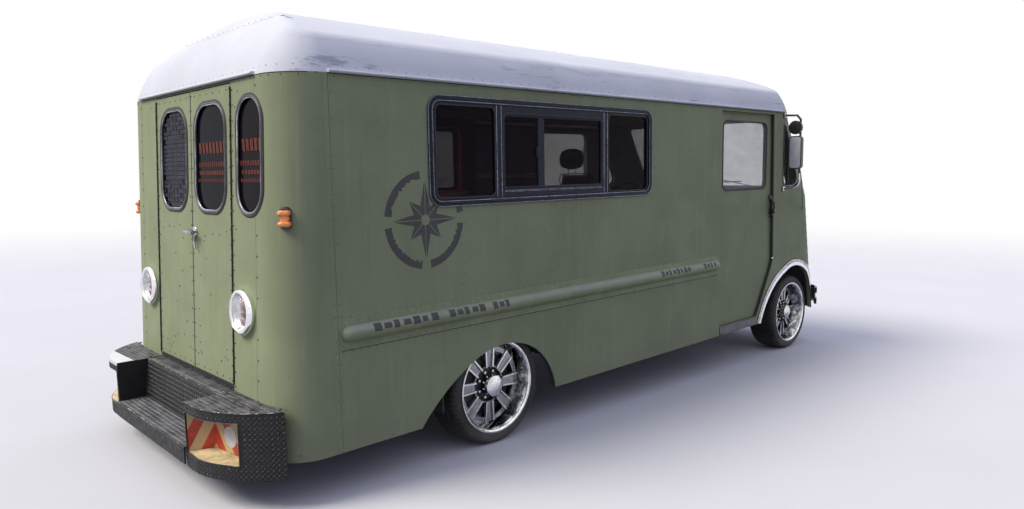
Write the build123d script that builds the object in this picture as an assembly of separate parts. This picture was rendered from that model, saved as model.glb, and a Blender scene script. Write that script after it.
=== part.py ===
from build123d import *

import math
import os

# Walk-in step van turned food truck, as an assembly of separate panels and running gear.
# Units are millimetres. The body is drawn level in its own body frame: x = 0 at the foot of
# the rear wall, +X forward, +Y left, z = 0 at the road under the rear wall. It stands nose up
# by PITCH, so body pieces are turned by that angle and the wheels and axles are not.

# Stance
PITCH = 1.39                    # nose-up angle of the body, degrees
REAR_AXLE_X = 1456              # along the road from the foot of the rear wall
FRONT_AXLE_X = 5397

# Body shell
HALF_W = 1125
SKIRT_Z = 226                   # lower edge of the body sides
DRIP_Z = 2163                   # top of the walls, foot of the roof
WALL = 28
RAKE = 0.045                    # rear wall leans forward by this much per unit of height
CORNER_R = 240                  # all four corners, seen from above
CORNER_SEAM_X = 337             # seam between corner panel and side wall
CORNER_SEAM_Y = 835             # seam between corner panel and rear wall
COWL = (5765, 1416)             # foot of the windscreen, x and z
SCREEN_TOP_X = 5345
NOSE_FOOT_X = 5974
PILLAR_BACK = 185               # seam between cab side and front, behind the cab's face
AHEAD = 6200                    # anywhere ahead of the van
SILL_FOOT_Z = 330               # lower edge of the panel under the rear doors

# Roof
CROWN_TOP = 2610
CROWN_R = 2293
SKIRT_R = 629                   # the roof's sides curve in on this radius
SKIRT_LEAN = (15, 50)           # lean from upright where that arc starts and ends
SKIRT_RUN = 900                 # straight run drawn past the arc
ROOF_T = 25
ROOF_EDGE_R = 110
ROOF_SEAM_FRONT = 4363
GUTTER_OUT = 16
GUTTER_T = 16
GUTTER_END_X = 5080

# Openings and panes
SIDE_WINDOW = (955, 3000, 1487, 2079)      # x from, x to, z from, z to
SIDE_WINDOW_R = 70
SIDE_PANES = (                  # x from, x to, z from, z to
    (997, 1440, 1523, 2040),
    (1512, 2444, 1556, 2008),
    (2516, 2962, 1516, 2040),
)
SIDE_PANE_R = 40
DOOR_WINDOW = (4092, 4842, 1472, 2056)
DOOR_WINDOW_R = 60
REAR_WINDOW_Y = (58, 487)
REAR_WINDOW_Z = (1465, 2067)
REAR_WINDOW_R = 150
CORNER_WINDOW_Y = (623, 914)
CORNER_WINDOW_R = 135
GLASS_T = 6
GLASS_EASE = 2                  # a pane's corners are rounder than its opening's by this much
SCREEN_HALF_W = 870
SCREEN_POST = 22                # half the windscreen's middle post
SCREEN_Z = (1462, 2112)
SCREEN_R = 60

# Doors
REAR_DOOR_HALF = 555            # half the rear doorway
REAR_DOOR_GAP = 6
REAR_MEET = 4                   # half the gap between the two rear doors
REAR_DOOR_T = 36
REAR_DOOR_Z = (530, 2146)
HANDLE_Z = 1345
HANDLE_Y = 44
SLIDE_REAR_X = 4014             # rear edge of the side doorway
SLIDE_TOP_Z = 2138
SLIDE_SILL_Z = 302
SLIDE_DOOR_T = 34
SLIDE_GAP = 6
SLIDE_OVERLAP = 22
SLIDE_HANDLE = (4892, 4932, 1200, 1384)    # x from, x to, z from, z to
DOOR_FRONT = [(4920, SLIDE_TOP_Z), (4954, 807), (4926, 738), (4818, 557), (4728, 407),
              (4656, SLIDE_SILL_Z)]        # front edge of the side doorway, from its top

# Floor and chassis
FLOOR_TOP = 530
FLOOR_T = 40
AISLE = (400, 3700, -740, 540)  # raised floor plate: x from, x to, y from, y to
AISLE_T = 6
HOUSING_T = 8                   # front wheel housing
HOUSING_IN_Y = 640
RAIL_X = (70, 5860)
RAIL_Y = 430
RAIL_Z = (330, 484)
CROSSMEMBERS = (120, 900, 2150, 3000, 3850, 4600, 5420)

# Bumpers
TREAD_REAR_X = -262
TREAD_TOP_Z = 270
TREAD_FOOT_Z = 180
LEDGE_Z = 508
TOWER_Y = 555
TOWER_REAR_X = -248
TOWER_END = (38, -1098)         # front end of a tower's outer face, x and y
TOWER_SKIN = 8
POCKET = ((-300, -563), (-240, -563), (-113, -612), (-83, -862), (-78, -955), (-300, -955))
POCKET_Z = (246, 460)
POCKET_SKIN = 5
FRONT_BUMPER_X = 6055
FRONT_BUMPER_OUT = 50           # beyond the body side
FRONT_BUMPER_R = 310
FRONT_BUMPER_END_X = 5828
FRONT_BUMPER_Z = (262, 430)

# Wheels and axles
TYRE_R = 362
TYRE_W = 258
TYRE_OUTER_Y = 1088             # outer sidewall, inside the body side
RIM_R = 279
RIM_FLANGE_R = 291
DISH_DEPTH = 92                 # from the rim's outer face to the hub's face
DISC_R = 236                    # where the spokes meet the dish
HUB_R = 104
WINDOW_R = (120, 210)           # openings between the spokes, inner and outer end
CAP_R = 68
CAP_SUNK = 12                   # the cap's tip behind the rim's outer face
CAP_TIP_R = 6                   # the flat on the cap's tip
SPOKES = 8
KINGPIN_Y = 925
BEAM_HALF = 34
REAR_TUBE_R = 42
BRAKE_R = 150
BRAKE_Y = 963
BRAKE_T = 8
SPINDLE_Y = (958, 1047)         # inner and outer end of the stub a wheel turns on
BULGE_HALF = 105                # the rear axle's bulge, half its length along the van
ENGINE = (4700, 5300, -290, 290, 300, 900)
SHAFT_R = 34
SHAFT_Z = (376, 512)            # drive shaft's height over the road, at the axle and the engine
SPRING_Y = (-545, -485)
SPRING_PAD = 8
SPRING_RISE = 30
SPRING_EYE_R = 20
LEAF_T = 9
LEAF_SHARES = (1.0, 0.78, 0.56, 0.34)

# Lamps and trim
GRILLE_HALF_W = 560
GRILLE_Z = (640, 960)
GRILLE_R = 60
HEADLAMP_Y = 760
HEADLAMP_Z = 850
HEADLAMP_R = 105
REAR_LAMP_Y = 700
REAR_LAMP_Z = 960
REAR_LAMP_R = 122
MARKER_ANGLE = 49               # round the corner from straight out to the side
MARKER_Z = 1455
ARCH_TRIM_W = 30
MIRROR_X = 5090
MIRROR_Y = (-1313, -1192)
MIRROR_Z = (1640, 1942)
ROUND_MIRROR_Z = 2019

# Cab and kitchen
SEAT_X = 4190                   # rear edge of the seat cushion
WORKTOP_Z = 1440
GALLEY_X = (1940, 3120)
GALLEY_Y = (560, 1095)
GALLEY_BAYS = 3

SIN = math.sin(math.radians(PITCH))
COS = math.cos(math.radians(PITCH))
REAR_REACH = TREAD_REAR_X * COS - TREAD_TOP_Z * SIN
FRONT_REACH = FRONT_BUMPER_X * COS - FRONT_BUMPER_Z[0] * SIN
MID_X = (REAR_REACH + FRONT_REACH) / 2

RIGHT, LEFT = -1, 1


def block(x0, x1, y0, y1, z0, z1):
    """A plain block between two corners."""
    return Pos((x0 + x1) / 2, (y0 + y1) / 2, (z0 + z1) / 2) * Box(x1 - x0, y1 - y0, z1 - z0)


def outline(*points):
    """A closed face through points, with straight sides."""
    return make_face(Polyline(*points, close=True))


def along_x(face, x0, x1):
    """A face drawn in y and z, run from x0 to x1."""
    return Pos(x0, 0, 0) * extrude(Plane.YZ * face, x1 - x0)


def along_y(face, y0, y1):
    """A face drawn in x and z, run from y0 to y1."""
    return Pos(0, y1, 0) * extrude(Plane.XZ * face, y1 - y0)


def along_z(face, z0, z1):
    """A face drawn in x and y, run from z0 to z1."""
    return Pos(0, 0, z0) * extrude(face, z1 - z0)


def along_rake(face, z0, z1):
    """A plan face run up the leaning rear wall from z0 to z1."""
    climb = (z1 - z0) * math.hypot(1, RAKE)
    return Pos(RAKE * z0, 0, z0) * extrude(face, climb, dir=(RAKE, 0, 1))


def pane(x0, x1, z0, z1, radius):
    """A round-cornered face given by its limits."""
    return Pos((x0 + x1) / 2, (z0 + z1) / 2) * RectangleRounded(x1 - x0, z1 - z0, radius)


def rod(start, end, radius):
    """A round bar from one point to another."""
    run = Vector(end) - Vector(start)
    return extrude(Plane(origin=start, z_dir=run) * Circle(radius), run.length)


def both_sides(shape):
    """The shape and its mirror image across the centre line."""
    return [shape, mirror(shape, about=Plane.XZ)]


def on_side(shape, side):
    """A shape drawn on the right, moved to the side asked for."""
    return shape if side == RIGHT else mirror(shape, about=Plane.XZ)


# Roof

def skirt_edge(edge, inset):
    """The roof skirt's arc from foot to lean, and the end of the straight run above it."""
    lean_0, lean_1 = (math.radians(a) for a in SKIRT_LEAN)
    radius = SKIRT_R - inset
    centre = edge - SKIRT_R * math.cos(lean_0)
    base = DRIP_Z - SKIRT_R * math.sin(lean_0)
    foot = math.asin((DRIP_Z - base) / radius)
    spots = []
    for lean in (foot, (foot + lean_1) / 2, lean_1):
        spots.append((centre + radius * math.cos(lean), base + radius * math.sin(lean)))
    end = spots[-1]
    last = (end[0] - SKIRT_RUN * math.sin(lean_1), end[1] + SKIRT_RUN * math.cos(lean_1))
    return spots, last


def skirt_face(edge, inset):
    """Half the roof's cross section up to past the crown, from the middle to one edge."""
    spots, last = skirt_edge(edge, inset)
    sides = [
        ThreePointArc(*spots),
        Line(spots[-1], last),
        Polyline(last, (0, last[1]), (0, DRIP_Z), spots[0]),
    ]
    half = make_face(sides)
    return half + mirror(half, about=Plane.YZ)


def roof_corner_ring(inset):
    """What lies outside the roof's skirt round a corner, turned about the corner's centre."""
    spots, _ = skirt_edge(CORNER_R, inset)
    tip = (0, spots[-1][1] + spots[-1][0] / math.tan(math.radians(SKIRT_LEAN[1])))
    far = CORNER_R + 100
    cut_face = make_face([
        ThreePointArc(*spots),
        Line(spots[-1], tip),
        Polyline(tip, (0, 2900), (far, 2900), (far, DRIP_Z), spots[0]),
    ])
    return revolve(Plane.XZ * cut_face, Axis.Z, 360)


def roof_form(inset):
    """The roof as a solid, every face moved in by inset."""
    rear_edge = RAKE * DRIP_Z
    mid = (rear_edge + SCREEN_TOP_X) / 2
    reach = (SCREEN_TOP_X - rear_edge) / 2
    sides = along_x(skirt_face(HALF_W, inset), rear_edge - 50, SCREEN_TOP_X + 50)
    ends = along_y(Pos(mid, 0) * skirt_face(reach, inset), -HALF_W, HALF_W)
    form = sides & ends
    ring = roof_corner_ring(inset)
    for end_x, sign in ((rear_edge, 1), (SCREEN_TOP_X, -1)):
        for side in (RIGHT, LEFT):
            x, y = end_x + sign * CORNER_R, side * (HALF_W - CORNER_R)
            x_far, y_far = x - sign * (CORNER_R + 60), y + side * (CORNER_R + 60)
            quarter = block(min(x, x_far), max(x, x_far), min(y, y_far), max(y, y_far), DRIP_Z, 3000)
            form -= (Pos(x, y, 0) * ring) & quarter
    crown = Pos(0, CROWN_TOP - CROWN_R) * Circle(CROWN_R - inset)
    form = form & along_x(crown, rear_edge - 50, SCREEN_TOP_X + 50)
    top = max(form.faces(), key=lambda face: face.center().Z)
    return fillet(top.outer_wire().edges(), ROOF_EDGE_R - inset)


def roof_shell():
    """The roof's skin with its rain gutters along both sides and over the rear doors."""
    x_rear = RAKE * DRIP_Z
    skin = roof_form(0) - roof_form(ROOF_T)
    for gutter in both_sides(block(CORNER_SEAM_X, GUTTER_END_X, -HALF_W - GUTTER_OUT, -HALF_W + 12,
                                   DRIP_Z, DRIP_Z + GUTTER_T)):
        skin += gutter
    return skin + block(x_rear - GUTTER_OUT, x_rear + 12, -CORNER_SEAM_Y, CORNER_SEAM_Y,
                        DRIP_Z, DRIP_Z + GUTTER_T)


# Cab

def cab_form(grow):
    """The front of the body as a solid, its faces moved out by grow."""
    rake_len = math.hypot(COWL[0] - SCREEN_TOP_X, DRIP_Z - COWL[1])
    screen_dx = grow * rake_len / (DRIP_Z - COWL[1])
    nose_len = math.hypot(NOSE_FOOT_X - COWL[0], COWL[1] - SKIRT_Z)
    nose_dx = grow * nose_len / (COWL[1] - SKIRT_Z)
    face = outline(
        (3900, SKIRT_Z), (3900, DRIP_Z), (SCREEN_TOP_X + screen_dx, DRIP_Z),
        (COWL[0] + (screen_dx + nose_dx) / 2, COWL[1]), (NOSE_FOOT_X + nose_dx, SKIRT_Z),
    )
    solid = along_y(face, -HALF_W - grow, HALF_W + grow)
    corners = [
        e for e in solid.edges()
        if abs(abs(e.center().Y) - HALF_W - grow) < 1 and e.center().X > 5300 and e.length < 1300
        and abs((e @ 0).Z - (e @ 1).Z) > 100
    ]
    return fillet(corners, CORNER_R + grow)


def arch_face(kind, inset=0):
    """The wheel opening in the body side, front or rear."""
    if kind == "front":
        arcs = [
            ThreePointArc((4660, 100), (4885, 504), (5192, 689)),
            ThreePointArc((5192, 689), (5431, 731), (5677, 633)),
            ThreePointArc((5677, 633), (5780, 470), (5820, 100)),
            Line((5820, 100), (4660, 100)),
        ]
    else:
        arcs = [
            ThreePointArc((826, 200), (1049, 418), (1238, 535)),
            ThreePointArc((1238, 535), (1470, 600), (1731, 546)),
            ThreePointArc((1731, 546), (1868, 430), (1960, 200)),
            Line((1960, 200), (826, 200)),
        ]
    face = make_face(arcs)
    return offset(face, -inset) if inset else face


def screen_x(z, back=0):
    """Front face of the cab at a height, moved back."""
    if z > COWL[1]:
        share = (z - COWL[1]) / (DRIP_Z - COWL[1])
        return COWL[0] + share * (SCREEN_TOP_X - COWL[0]) - back
    share = (COWL[1] - z) / (COWL[1] - SKIRT_Z)
    return COWL[0] + share * (NOSE_FOOT_X - COWL[0]) - back


def quarter_window_face(grow=0):
    """The pointed window ahead of the side doorway, rounded most at its foot."""
    face = outline((5110, 1482), (5110, 2050), (5136, 2046), (5392, 1568), (5372, 1482))
    corners = face.vertices().sort_by(Axis.Y)
    face = fillet(corners[:2], 80)
    face = fillet(face.vertices().sort_by(Axis.Y)[-2:], 8)
    return offset(face, grow) if grow else face


def cab_parts():
    """Cab sides, nose panel and windscreen frame, split along their seams."""
    shell = cab_form(0) - cab_form(-WALL)
    shell -= along_y(arch_face("front", ARCH_TRIM_W), -1300, 1300)
    seam_foot = (screen_x(SKIRT_Z, PILLAR_BACK), SKIRT_Z)
    seam_cowl = (screen_x(COWL[1], PILLAR_BACK), COWL[1])
    seam_top = (screen_x(DRIP_Z, PILLAR_BACK), DRIP_Z)
    side_face = outline((4640, SKIRT_Z), *reversed(DOOR_FRONT), (4920, DRIP_Z),
                        seam_top, seam_cowl, seam_foot)
    side_face -= quarter_window_face()
    front_low = outline(seam_foot, seam_cowl, (AHEAD, COWL[1]), (AHEAD, SKIRT_Z))
    front_high = outline(seam_cowl, seam_top, (AHEAD, DRIP_Z), (AHEAD, COWL[1]))
    parts = {}
    for word, y_range in (("right", (-1200, -800)), ("left", (800, 1200))):
        parts["cab_side_" + word] = shell & along_y(side_face, *y_range)
    nose = shell & along_y(front_low, -1200, 1200)
    nose -= along_x(pane(-GRILLE_HALF_W, GRILLE_HALF_W, *GRILLE_Z, GRILLE_R), 5600, AHEAD)
    for hole in both_sides(headlamp_plane() * Cylinder(HEADLAMP_R, 200)):
        nose -= hole
    for slot in both_sides(bumper_bracket(6)):
        nose -= slot
    parts["nose_panel"] = nose
    screen = shell & along_y(front_high, -1200, 1200)
    for y0, y1 in ((-SCREEN_HALF_W, -SCREEN_POST), (SCREEN_POST, SCREEN_HALF_W)):
        screen -= along_x(pane(y0, y1, *SCREEN_Z, SCREEN_R), 5100, AHEAD)
    parts["windscreen_frame"] = screen
    return parts


def windscreen_glass():
    """Two flat panes, one each side of the middle post."""
    panes = []
    slab = outline(
        (screen_x(1425, 16), 1425), (screen_x(2150, 16), 2150),
        (screen_x(2150, 16 - GLASS_T), 2150), (screen_x(1425, 16 - GLASS_T), 1425),
    )
    for y0, y1 in ((-SCREEN_HALF_W, -SCREEN_POST), (SCREEN_POST, SCREEN_HALF_W)):
        cut = along_x(pane(y0, y1, *SCREEN_Z, SCREEN_R + GLASS_EASE), 5100, AHEAD)
        panes.append(along_y(slab, y0, y1) & cut)
    return panes


# Walls and rear end

def side_wall(side):
    """Long side panel with its window and wheel opening, and the rail inside its top edge."""
    face = outline(
        (CORNER_SEAM_X, SKIRT_Z), (CORNER_SEAM_X, DRIP_Z), (4920, DRIP_Z), (4920, SLIDE_TOP_Z),
        (SLIDE_REAR_X, SLIDE_TOP_Z), (SLIDE_REAR_X, SLIDE_SILL_Z), (4656, SLIDE_SILL_Z),
        (4640, SKIRT_Z),
    )
    face -= arch_face("rear")
    face -= pane(*SIDE_WINDOW, SIDE_WINDOW_R)
    wall = along_y(face, -HALF_W, -HALF_W + WALL)
    flange = block(CORNER_SEAM_X, 5050, -HALF_W + WALL, -1044, DRIP_Z - 6, DRIP_Z)
    leg = block(CORNER_SEAM_X, 5050, -1050, -1044, 2085, DRIP_Z - 6)
    return on_side(wall + flange + leg, side)


def rear_form(grow):
    """The rear end of the body as a solid, its upright faces moved out by grow."""
    length = 1600
    face = Pos(length / 2 - grow, 0) * RectangleRounded(length, 2 * (HALF_W + grow), CORNER_R + grow)
    return along_rake(face, 0, DRIP_Z)


def corner_panel(side):
    """Rounded rear corner of the body, with a window on the right only."""
    centre = (CORNER_R, -(HALF_W - CORNER_R))
    outer = Pos(*centre) * Circle(CORNER_R)
    inner = Pos(*centre) * Circle(CORNER_R - WALL)
    quarter = Pos(CORNER_R / 2, -(HALF_W - CORNER_R / 2)) * Rectangle(CORNER_R, CORNER_R)
    ring = (outer - inner) & quarter
    flange = Pos(WALL / 2, -(CORNER_SEAM_Y + HALF_W - CORNER_R) / 2) * Rectangle(
        WALL, HALF_W - CORNER_R - CORNER_SEAM_Y)
    skin = Pos(CORNER_R + 75, -HALF_W + WALL / 2) * Rectangle(150, WALL)
    shape = along_rake(ring + flange + skin, SKIRT_Z, DRIP_Z)
    shape &= block(-50, CORNER_SEAM_X, -1200, -500, 0, 3000)
    if side == RIGHT:
        shape -= corner_window_cut(CORNER_WINDOW_R)
    return on_side(shape, side)


def corner_window_cut(radius):
    """The corner window's opening, run through the rear wall."""
    hole = pane(-CORNER_WINDOW_Y[1], -CORNER_WINDOW_Y[0], *REAR_WINDOW_Z, radius)
    return along_x(hole, -50, 200)


def rear_frame():
    """Fixed panels beside the rear doors, the header over them and the sill under them."""
    seam, door = CORNER_SEAM_Y, REAR_DOOR_HALF
    # y of the middle, width, z from, z to
    panels = (
        ((door + seam) / 2, seam - door, SKIRT_Z, DRIP_Z),
        (-(door + seam) / 2, seam - door, SKIRT_Z, DRIP_Z),
        (0, 2 * door, REAR_DOOR_Z[1] + 7, DRIP_Z),
        (0, 2 * door, SILL_FOOT_Z, REAR_DOOR_Z[0] - 7),
    )
    frame = None
    for y, width, z0, z1 in panels:
        panel = along_rake(Pos(WALL / 2, y) * Rectangle(WALL, width), z0, z1)
        frame = panel if frame is None else frame + panel
    return frame - corner_window_cut(CORNER_WINDOW_R)


def rear_window_cut(side, radius):
    """A rear door's window opening, run through the door."""
    cut = along_x(pane(*REAR_WINDOW_Y, *REAR_WINDOW_Z, radius), -80, 250)
    return cut if side == LEFT else mirror(cut, about=Plane.XZ)


def rear_door(side):
    """Hinged door with its window; the right one carries the handle."""
    width = REAR_DOOR_HALF - REAR_DOOR_GAP - REAR_MEET
    slab = along_rake(Pos(REAR_DOOR_T / 2, -(REAR_MEET + width / 2)) * Rectangle(REAR_DOOR_T, width),
                      *REAR_DOOR_Z)
    door = on_side(slab, side) - rear_window_cut(side, REAR_WINDOW_R)
    if side == RIGHT:
        x = RAKE * HANDLE_Z
        y = -HANDLE_Y
        rose = rod((x + 1, y, HANDLE_Z), (x - 8, y, HANDLE_Z), 30)
        stem = rod((x + 1, y, HANDLE_Z), (x - 44, y, HANDLE_Z), 11)
        grip = rod((x - 42, y - 62, HANDLE_Z), (x - 42, y + 62, HANDLE_Z), 10)
        door = door + rose + stem + grip
    return door


def rear_door_glass(side):
    width = REAR_WINDOW_Y[1] - REAR_WINDOW_Y[0]
    mid = (REAR_WINDOW_Y[0] + REAR_WINDOW_Y[1]) / 2
    slab = along_rake(Pos(14, side * mid) * Rectangle(GLASS_T, width), 1400, 2120)
    return slab & rear_window_cut(side, REAR_WINDOW_R + GLASS_EASE)


def corner_window_glass():
    slab = along_rake(Pos(14, -768) * Rectangle(GLASS_T, 320), 1400, 2120)
    return slab & corner_window_cut(CORNER_WINDOW_R + GLASS_EASE)


# Side doors and windows

def sliding_door(side):
    """Door that slides back inside the side wall, with its outside handle."""
    lap = SLIDE_OVERLAP
    face = outline(
        (SLIDE_REAR_X - lap, SLIDE_SILL_Z - 8), (SLIDE_REAR_X - lap, SLIDE_TOP_Z + 12),
        (4920 + lap, SLIDE_TOP_Z + 12), (4954 + lap, 800), (4926 + lap, 726), (4818 + lap, 545),
        (4728 + lap, 395), (4662 + lap, SLIDE_SILL_Z - 8),
    )
    face -= pane(*DOOR_WINDOW, DOOR_WINDOW_R)
    y_out = -(HALF_W - WALL - SLIDE_GAP)
    door = along_y(face, y_out, y_out + SLIDE_DOOR_T)
    x0, x1, z0, z1 = SLIDE_HANDLE
    x_mid = (x0 + x1) / 2
    door += along_y(pane(x0, x1, z0, z1, 18), y_out - 10, y_out + 2)
    grip = rod((x_mid, y_out - 44, z0 + 20), (x_mid, y_out - 44, z1 - 20), 10)
    for z in (z0 + 34, z1 - 34):
        grip += rod((x_mid, y_out - 6, z), (x_mid, y_out - 44, z), 6)
    return on_side(door + grip, side)


def sliding_door_glass(side):
    y = -(HALF_W - WALL - SLIDE_GAP) + 12
    return on_side(along_y(pane(*DOOR_WINDOW, DOOR_WINDOW_R + GLASS_EASE), y, y + GLASS_T), side)


def side_window_frame():
    """Outer frame, the two mullions and the slider's own frame."""
    x0, x1, z0, z1 = SIDE_WINDOW
    face = pane(x0, x1, z0, z1, SIDE_WINDOW_R + GLASS_EASE)
    for a, b, low, high in SIDE_PANES:
        face -= pane(a, b, low, high, SIDE_PANE_R)
    flange = pane(x0 - 14, x1 + 14, z0 - 14, z1 + 14, SIDE_WINDOW_R + 14)
    flange -= pane(x0 + 20, x1 - 20, z0 + 20, z1 - 20, SIDE_WINDOW_R - 20)
    return along_y(face, -HALF_W - 2, -HALF_W + WALL) + along_y(flange, -HALF_W - 10, -HALF_W)


def side_glass():
    """Panes of the side window, the quarter windows and the corner window."""
    panes = []
    for a, b, low, high in SIDE_PANES:
        one = along_y(pane(a, b, low, high, SIDE_PANE_R + GLASS_EASE), -HALF_W + 8,
                      -HALF_W + 8 + GLASS_T)
        panes += both_sides(one)
    quarter = along_y(quarter_window_face(), -HALF_W + 10, -HALF_W + 10 + GLASS_T)
    panes += both_sides(quarter)
    panes.append(corner_window_glass())
    return panes


# Chassis and floor

def chassis_frame():
    """Two channel rails joined by crossmembers, notched over the rear axle."""
    rails = []
    for rail in both_sides(
            block(RAIL_X[0], RAIL_X[1], -RAIL_Y, -RAIL_Y + 8, *RAIL_Z)
            + block(RAIL_X[0], RAIL_X[1], -RAIL_Y, -RAIL_Y + 65, RAIL_Z[0], RAIL_Z[0] + 8)
            + block(RAIL_X[0], RAIL_X[1], -RAIL_Y, -RAIL_Y + 65, RAIL_Z[1] - 8, RAIL_Z[1])):
        rails.append(rail - Pos(1464, 0, RAIL_Z[0]) * Rot(90, 0, 0) * Cylinder(96, 3 * RAIL_Y))
    frame = rails[0] + rails[1]
    for x in CROSSMEMBERS:
        frame += block(x, x + 60, -RAIL_Y + 8, RAIL_Y - 8, RAIL_Z[0] + 8, RAIL_Z[1] - 8)
    tunnel = rod((REAR_AXLE_X, 0, SHAFT_Z[0]), (ENGINE[0] + 60, 0, SHAFT_Z[1]), SHAFT_R + 18)
    return frame - Rot(0, PITCH, 0) * tunnel


def floor_pan():
    """Load and cab floor, open over the engine, the rear wheels and the doorways."""
    z0, z1 = FLOOR_TOP - FLOOR_T, FLOOR_TOP
    inner = HALF_W - WALL
    pan = block(60, 3100, -inner, inner, z0, z1) + block(3100, 4990, -1048, 1048, z0, z1)
    pan &= along_z(Pos(53 + 2500, 0) * RectangleRounded(5000, 2 * inner, CORNER_R - WALL), z0, z1)
    pan -= block(4640, 5000, -310, 310, 0, 1000)
    for wheel_cut in both_sides(block(1010, 1915, -inner, -790, 0, 1000)):
        pan -= wheel_cut
    for door_cut in both_sides(block(SLIDE_REAR_X, 4990, -1100, -800, 0, 1000)):
        pan -= door_cut
    return pan + block(*AISLE, FLOOR_TOP, FLOOR_TOP + AISLE_T)


def wheel_box():
    """Box over a rear wheel, open below and towards the wheel opening."""
    outer = block(1010, 1915, -1097, -790, FLOOR_TOP - FLOOR_T, 790)
    hollow = block(1022, 1903, -1097, -802, 0, 778)
    return outer - hollow


def wheel_housing():
    """Liner over a front wheel that follows the wheel opening, closed towards the engine."""
    y_out, y_in = -(HALF_W - WALL), -(HOUSING_IN_Y)
    shell = arch_face("front", -HOUSING_T - 10) - arch_face("front", -10)
    above = block(4600, 6000, y_out, y_in, SKIRT_Z, 900)
    behind_step = block(4600, 5035, -806, y_in, 0, 900)
    liner = along_y(shell, y_out, y_in) & above
    liner -= behind_step
    side = along_y(arch_face("front", -HOUSING_T - 10), y_in - HOUSING_T, y_in)
    side &= block(5035, 6000, y_in - HOUSING_T, y_in, 520, 900)
    return (liner + side) & cab_form(-WALL)


def step_well():
    """Step inside a side doorway, with its riser up to the floor."""
    tread = block(SLIDE_REAR_X, 4640, -1048, -800, 262, 290)
    riser = block(SLIDE_REAR_X, 4640, -812, -800, 290, FLOOR_TOP - FLOOR_T)
    return tread + riser


def bulkhead():
    """Panel ahead of the cab floor, with the cover over the engine fused to it."""
    panel = block(5010, 5030, -1045, 1045, FLOOR_TOP - FLOOR_T, 1000)
    cover = block(4620, 5030, -330, 330, FLOOR_TOP, 960)
    liner = arch_face("front", -HOUSING_T - 10.3)
    for y0, y1 in ((-1200, -HOUSING_IN_Y + HOUSING_T + 0.3), (HOUSING_IN_Y - HOUSING_T - 0.3, 1200)):
        panel -= along_y(liner, y0, y1)
    return panel + cover - block(4635, 5100, -315, 315, 0, 945)


def fuel_tank():
    """Tank slung outside the right rail under the load floor, with its two straps."""
    tank = along_x(Pos(-690, 392) * RectangleRounded(400, 176, 40), 2300, 2980)
    for x in (2420, 2800):
        tank += along_x(Pos(-690, 392) * RectangleRounded(412, 188, 46), x, x + 40)
        tank += block(x, x + 40, -500, -RAIL_Y, 400, 440)
    return tank - block(2000, 3200, -1000, 0, FLOOR_TOP - FLOOR_T, 600)


def exhaust():
    """Pipe and silencer along the left rail, hung from the rail and ending behind the rear axle."""
    z = 402
    line = rod((620, 610, z), (4500, 610, z), 27)
    line += rod((2500, 610, z), (3150, 610, z), 84)
    for x in (700, 2300, 3400, 4440):
        line += block(x, x + 30, RAIL_Y, 610, z - 8, z + 8)
    return line - rod((600, 610, z), (1000, 610, z), 23)


# Running gear

def leaf_spring(x_mid, seat_z, half_span):
    """One leaf pack on the right, with its axle pad, its eyes and their hangers on the rail."""
    y0, y1 = SPRING_Y[0], SPRING_Y[1]
    top = seat_z + SPRING_PAD + LEAF_T * len(LEAF_SHARES)
    pack = None
    for count, share in enumerate(LEAF_SHARES):
        half = half_span * share
        mid = top - LEAF_T * count
        end = mid + SPRING_RISE * share ** 2
        high = ThreePointArc((-half, end), (0, mid), (half, end))
        low = ThreePointArc((-half, end - LEAF_T), (0, mid - LEAF_T), (half, end - LEAF_T))
        face = make_face([high, Line(high @ 1, low @ 1), low, Line(low @ 0, high @ 0)])
        leaf = along_y(face, y0, y1)
        pack = leaf if pack is None else pack + leaf
    for x in (-half_span, half_span):
        z = top + SPRING_RISE - LEAF_T / 2
        pack += rod((x, y0, z), (x, y1, z), SPRING_EYE_R)
        pack += rod((x, y0 - 6, z), (x, -RAIL_Y, z), 10)
        pack += block(x - 36, x + 36, -RAIL_Y - 10, -RAIL_Y, z - 30, z + 34)
    pack += block(-60, 60, y0, y1, seat_z - 16, seat_z + SPRING_PAD)
    return Pos(x_mid, 0, 0) * pack


def leaf_springs():
    """The four springs, cut clear of the axles that carry them."""
    springs = []
    for one in both_sides(leaf_spring(REAR_AXLE_X, TYRE_R + REAR_TUBE_R, 520)):
        springs.append(one - Pos(REAR_AXLE_X, 0, TYRE_R) * Rot(90, 0, 0) * Cylinder(REAR_TUBE_R, 2400))
    for one in both_sides(leaf_spring(FRONT_AXLE_X, TYRE_R + BEAM_HALF, 430)):
        springs.append(one - block(FRONT_AXLE_X - 32, FRONT_AXLE_X + 32, -2000, 2000, 0,
                                   TYRE_R + BEAM_HALF))
    return springs


def rear_axle():
    """Beam axle with its bulged middle and brake plates, in the road frame."""
    tube = Rot(90, 0, 0) * Cylinder(REAR_TUBE_R, 2 * BRAKE_Y)
    tube += Rot(90, 0, 0) * Cylinder(28, 2 * SPINDLE_Y[1])
    bulge = Sphere(135) & Box(2 * BULGE_HALF, 250, 250)
    axle = tube + bulge
    for y in (-BRAKE_Y, BRAKE_Y):
        axle += Pos(0, y, 0) * Rot(90, 0, 0) * Cylinder(BRAKE_R, BRAKE_T)
    return Pos(REAR_AXLE_X, 0, TYRE_R) * axle


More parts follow.
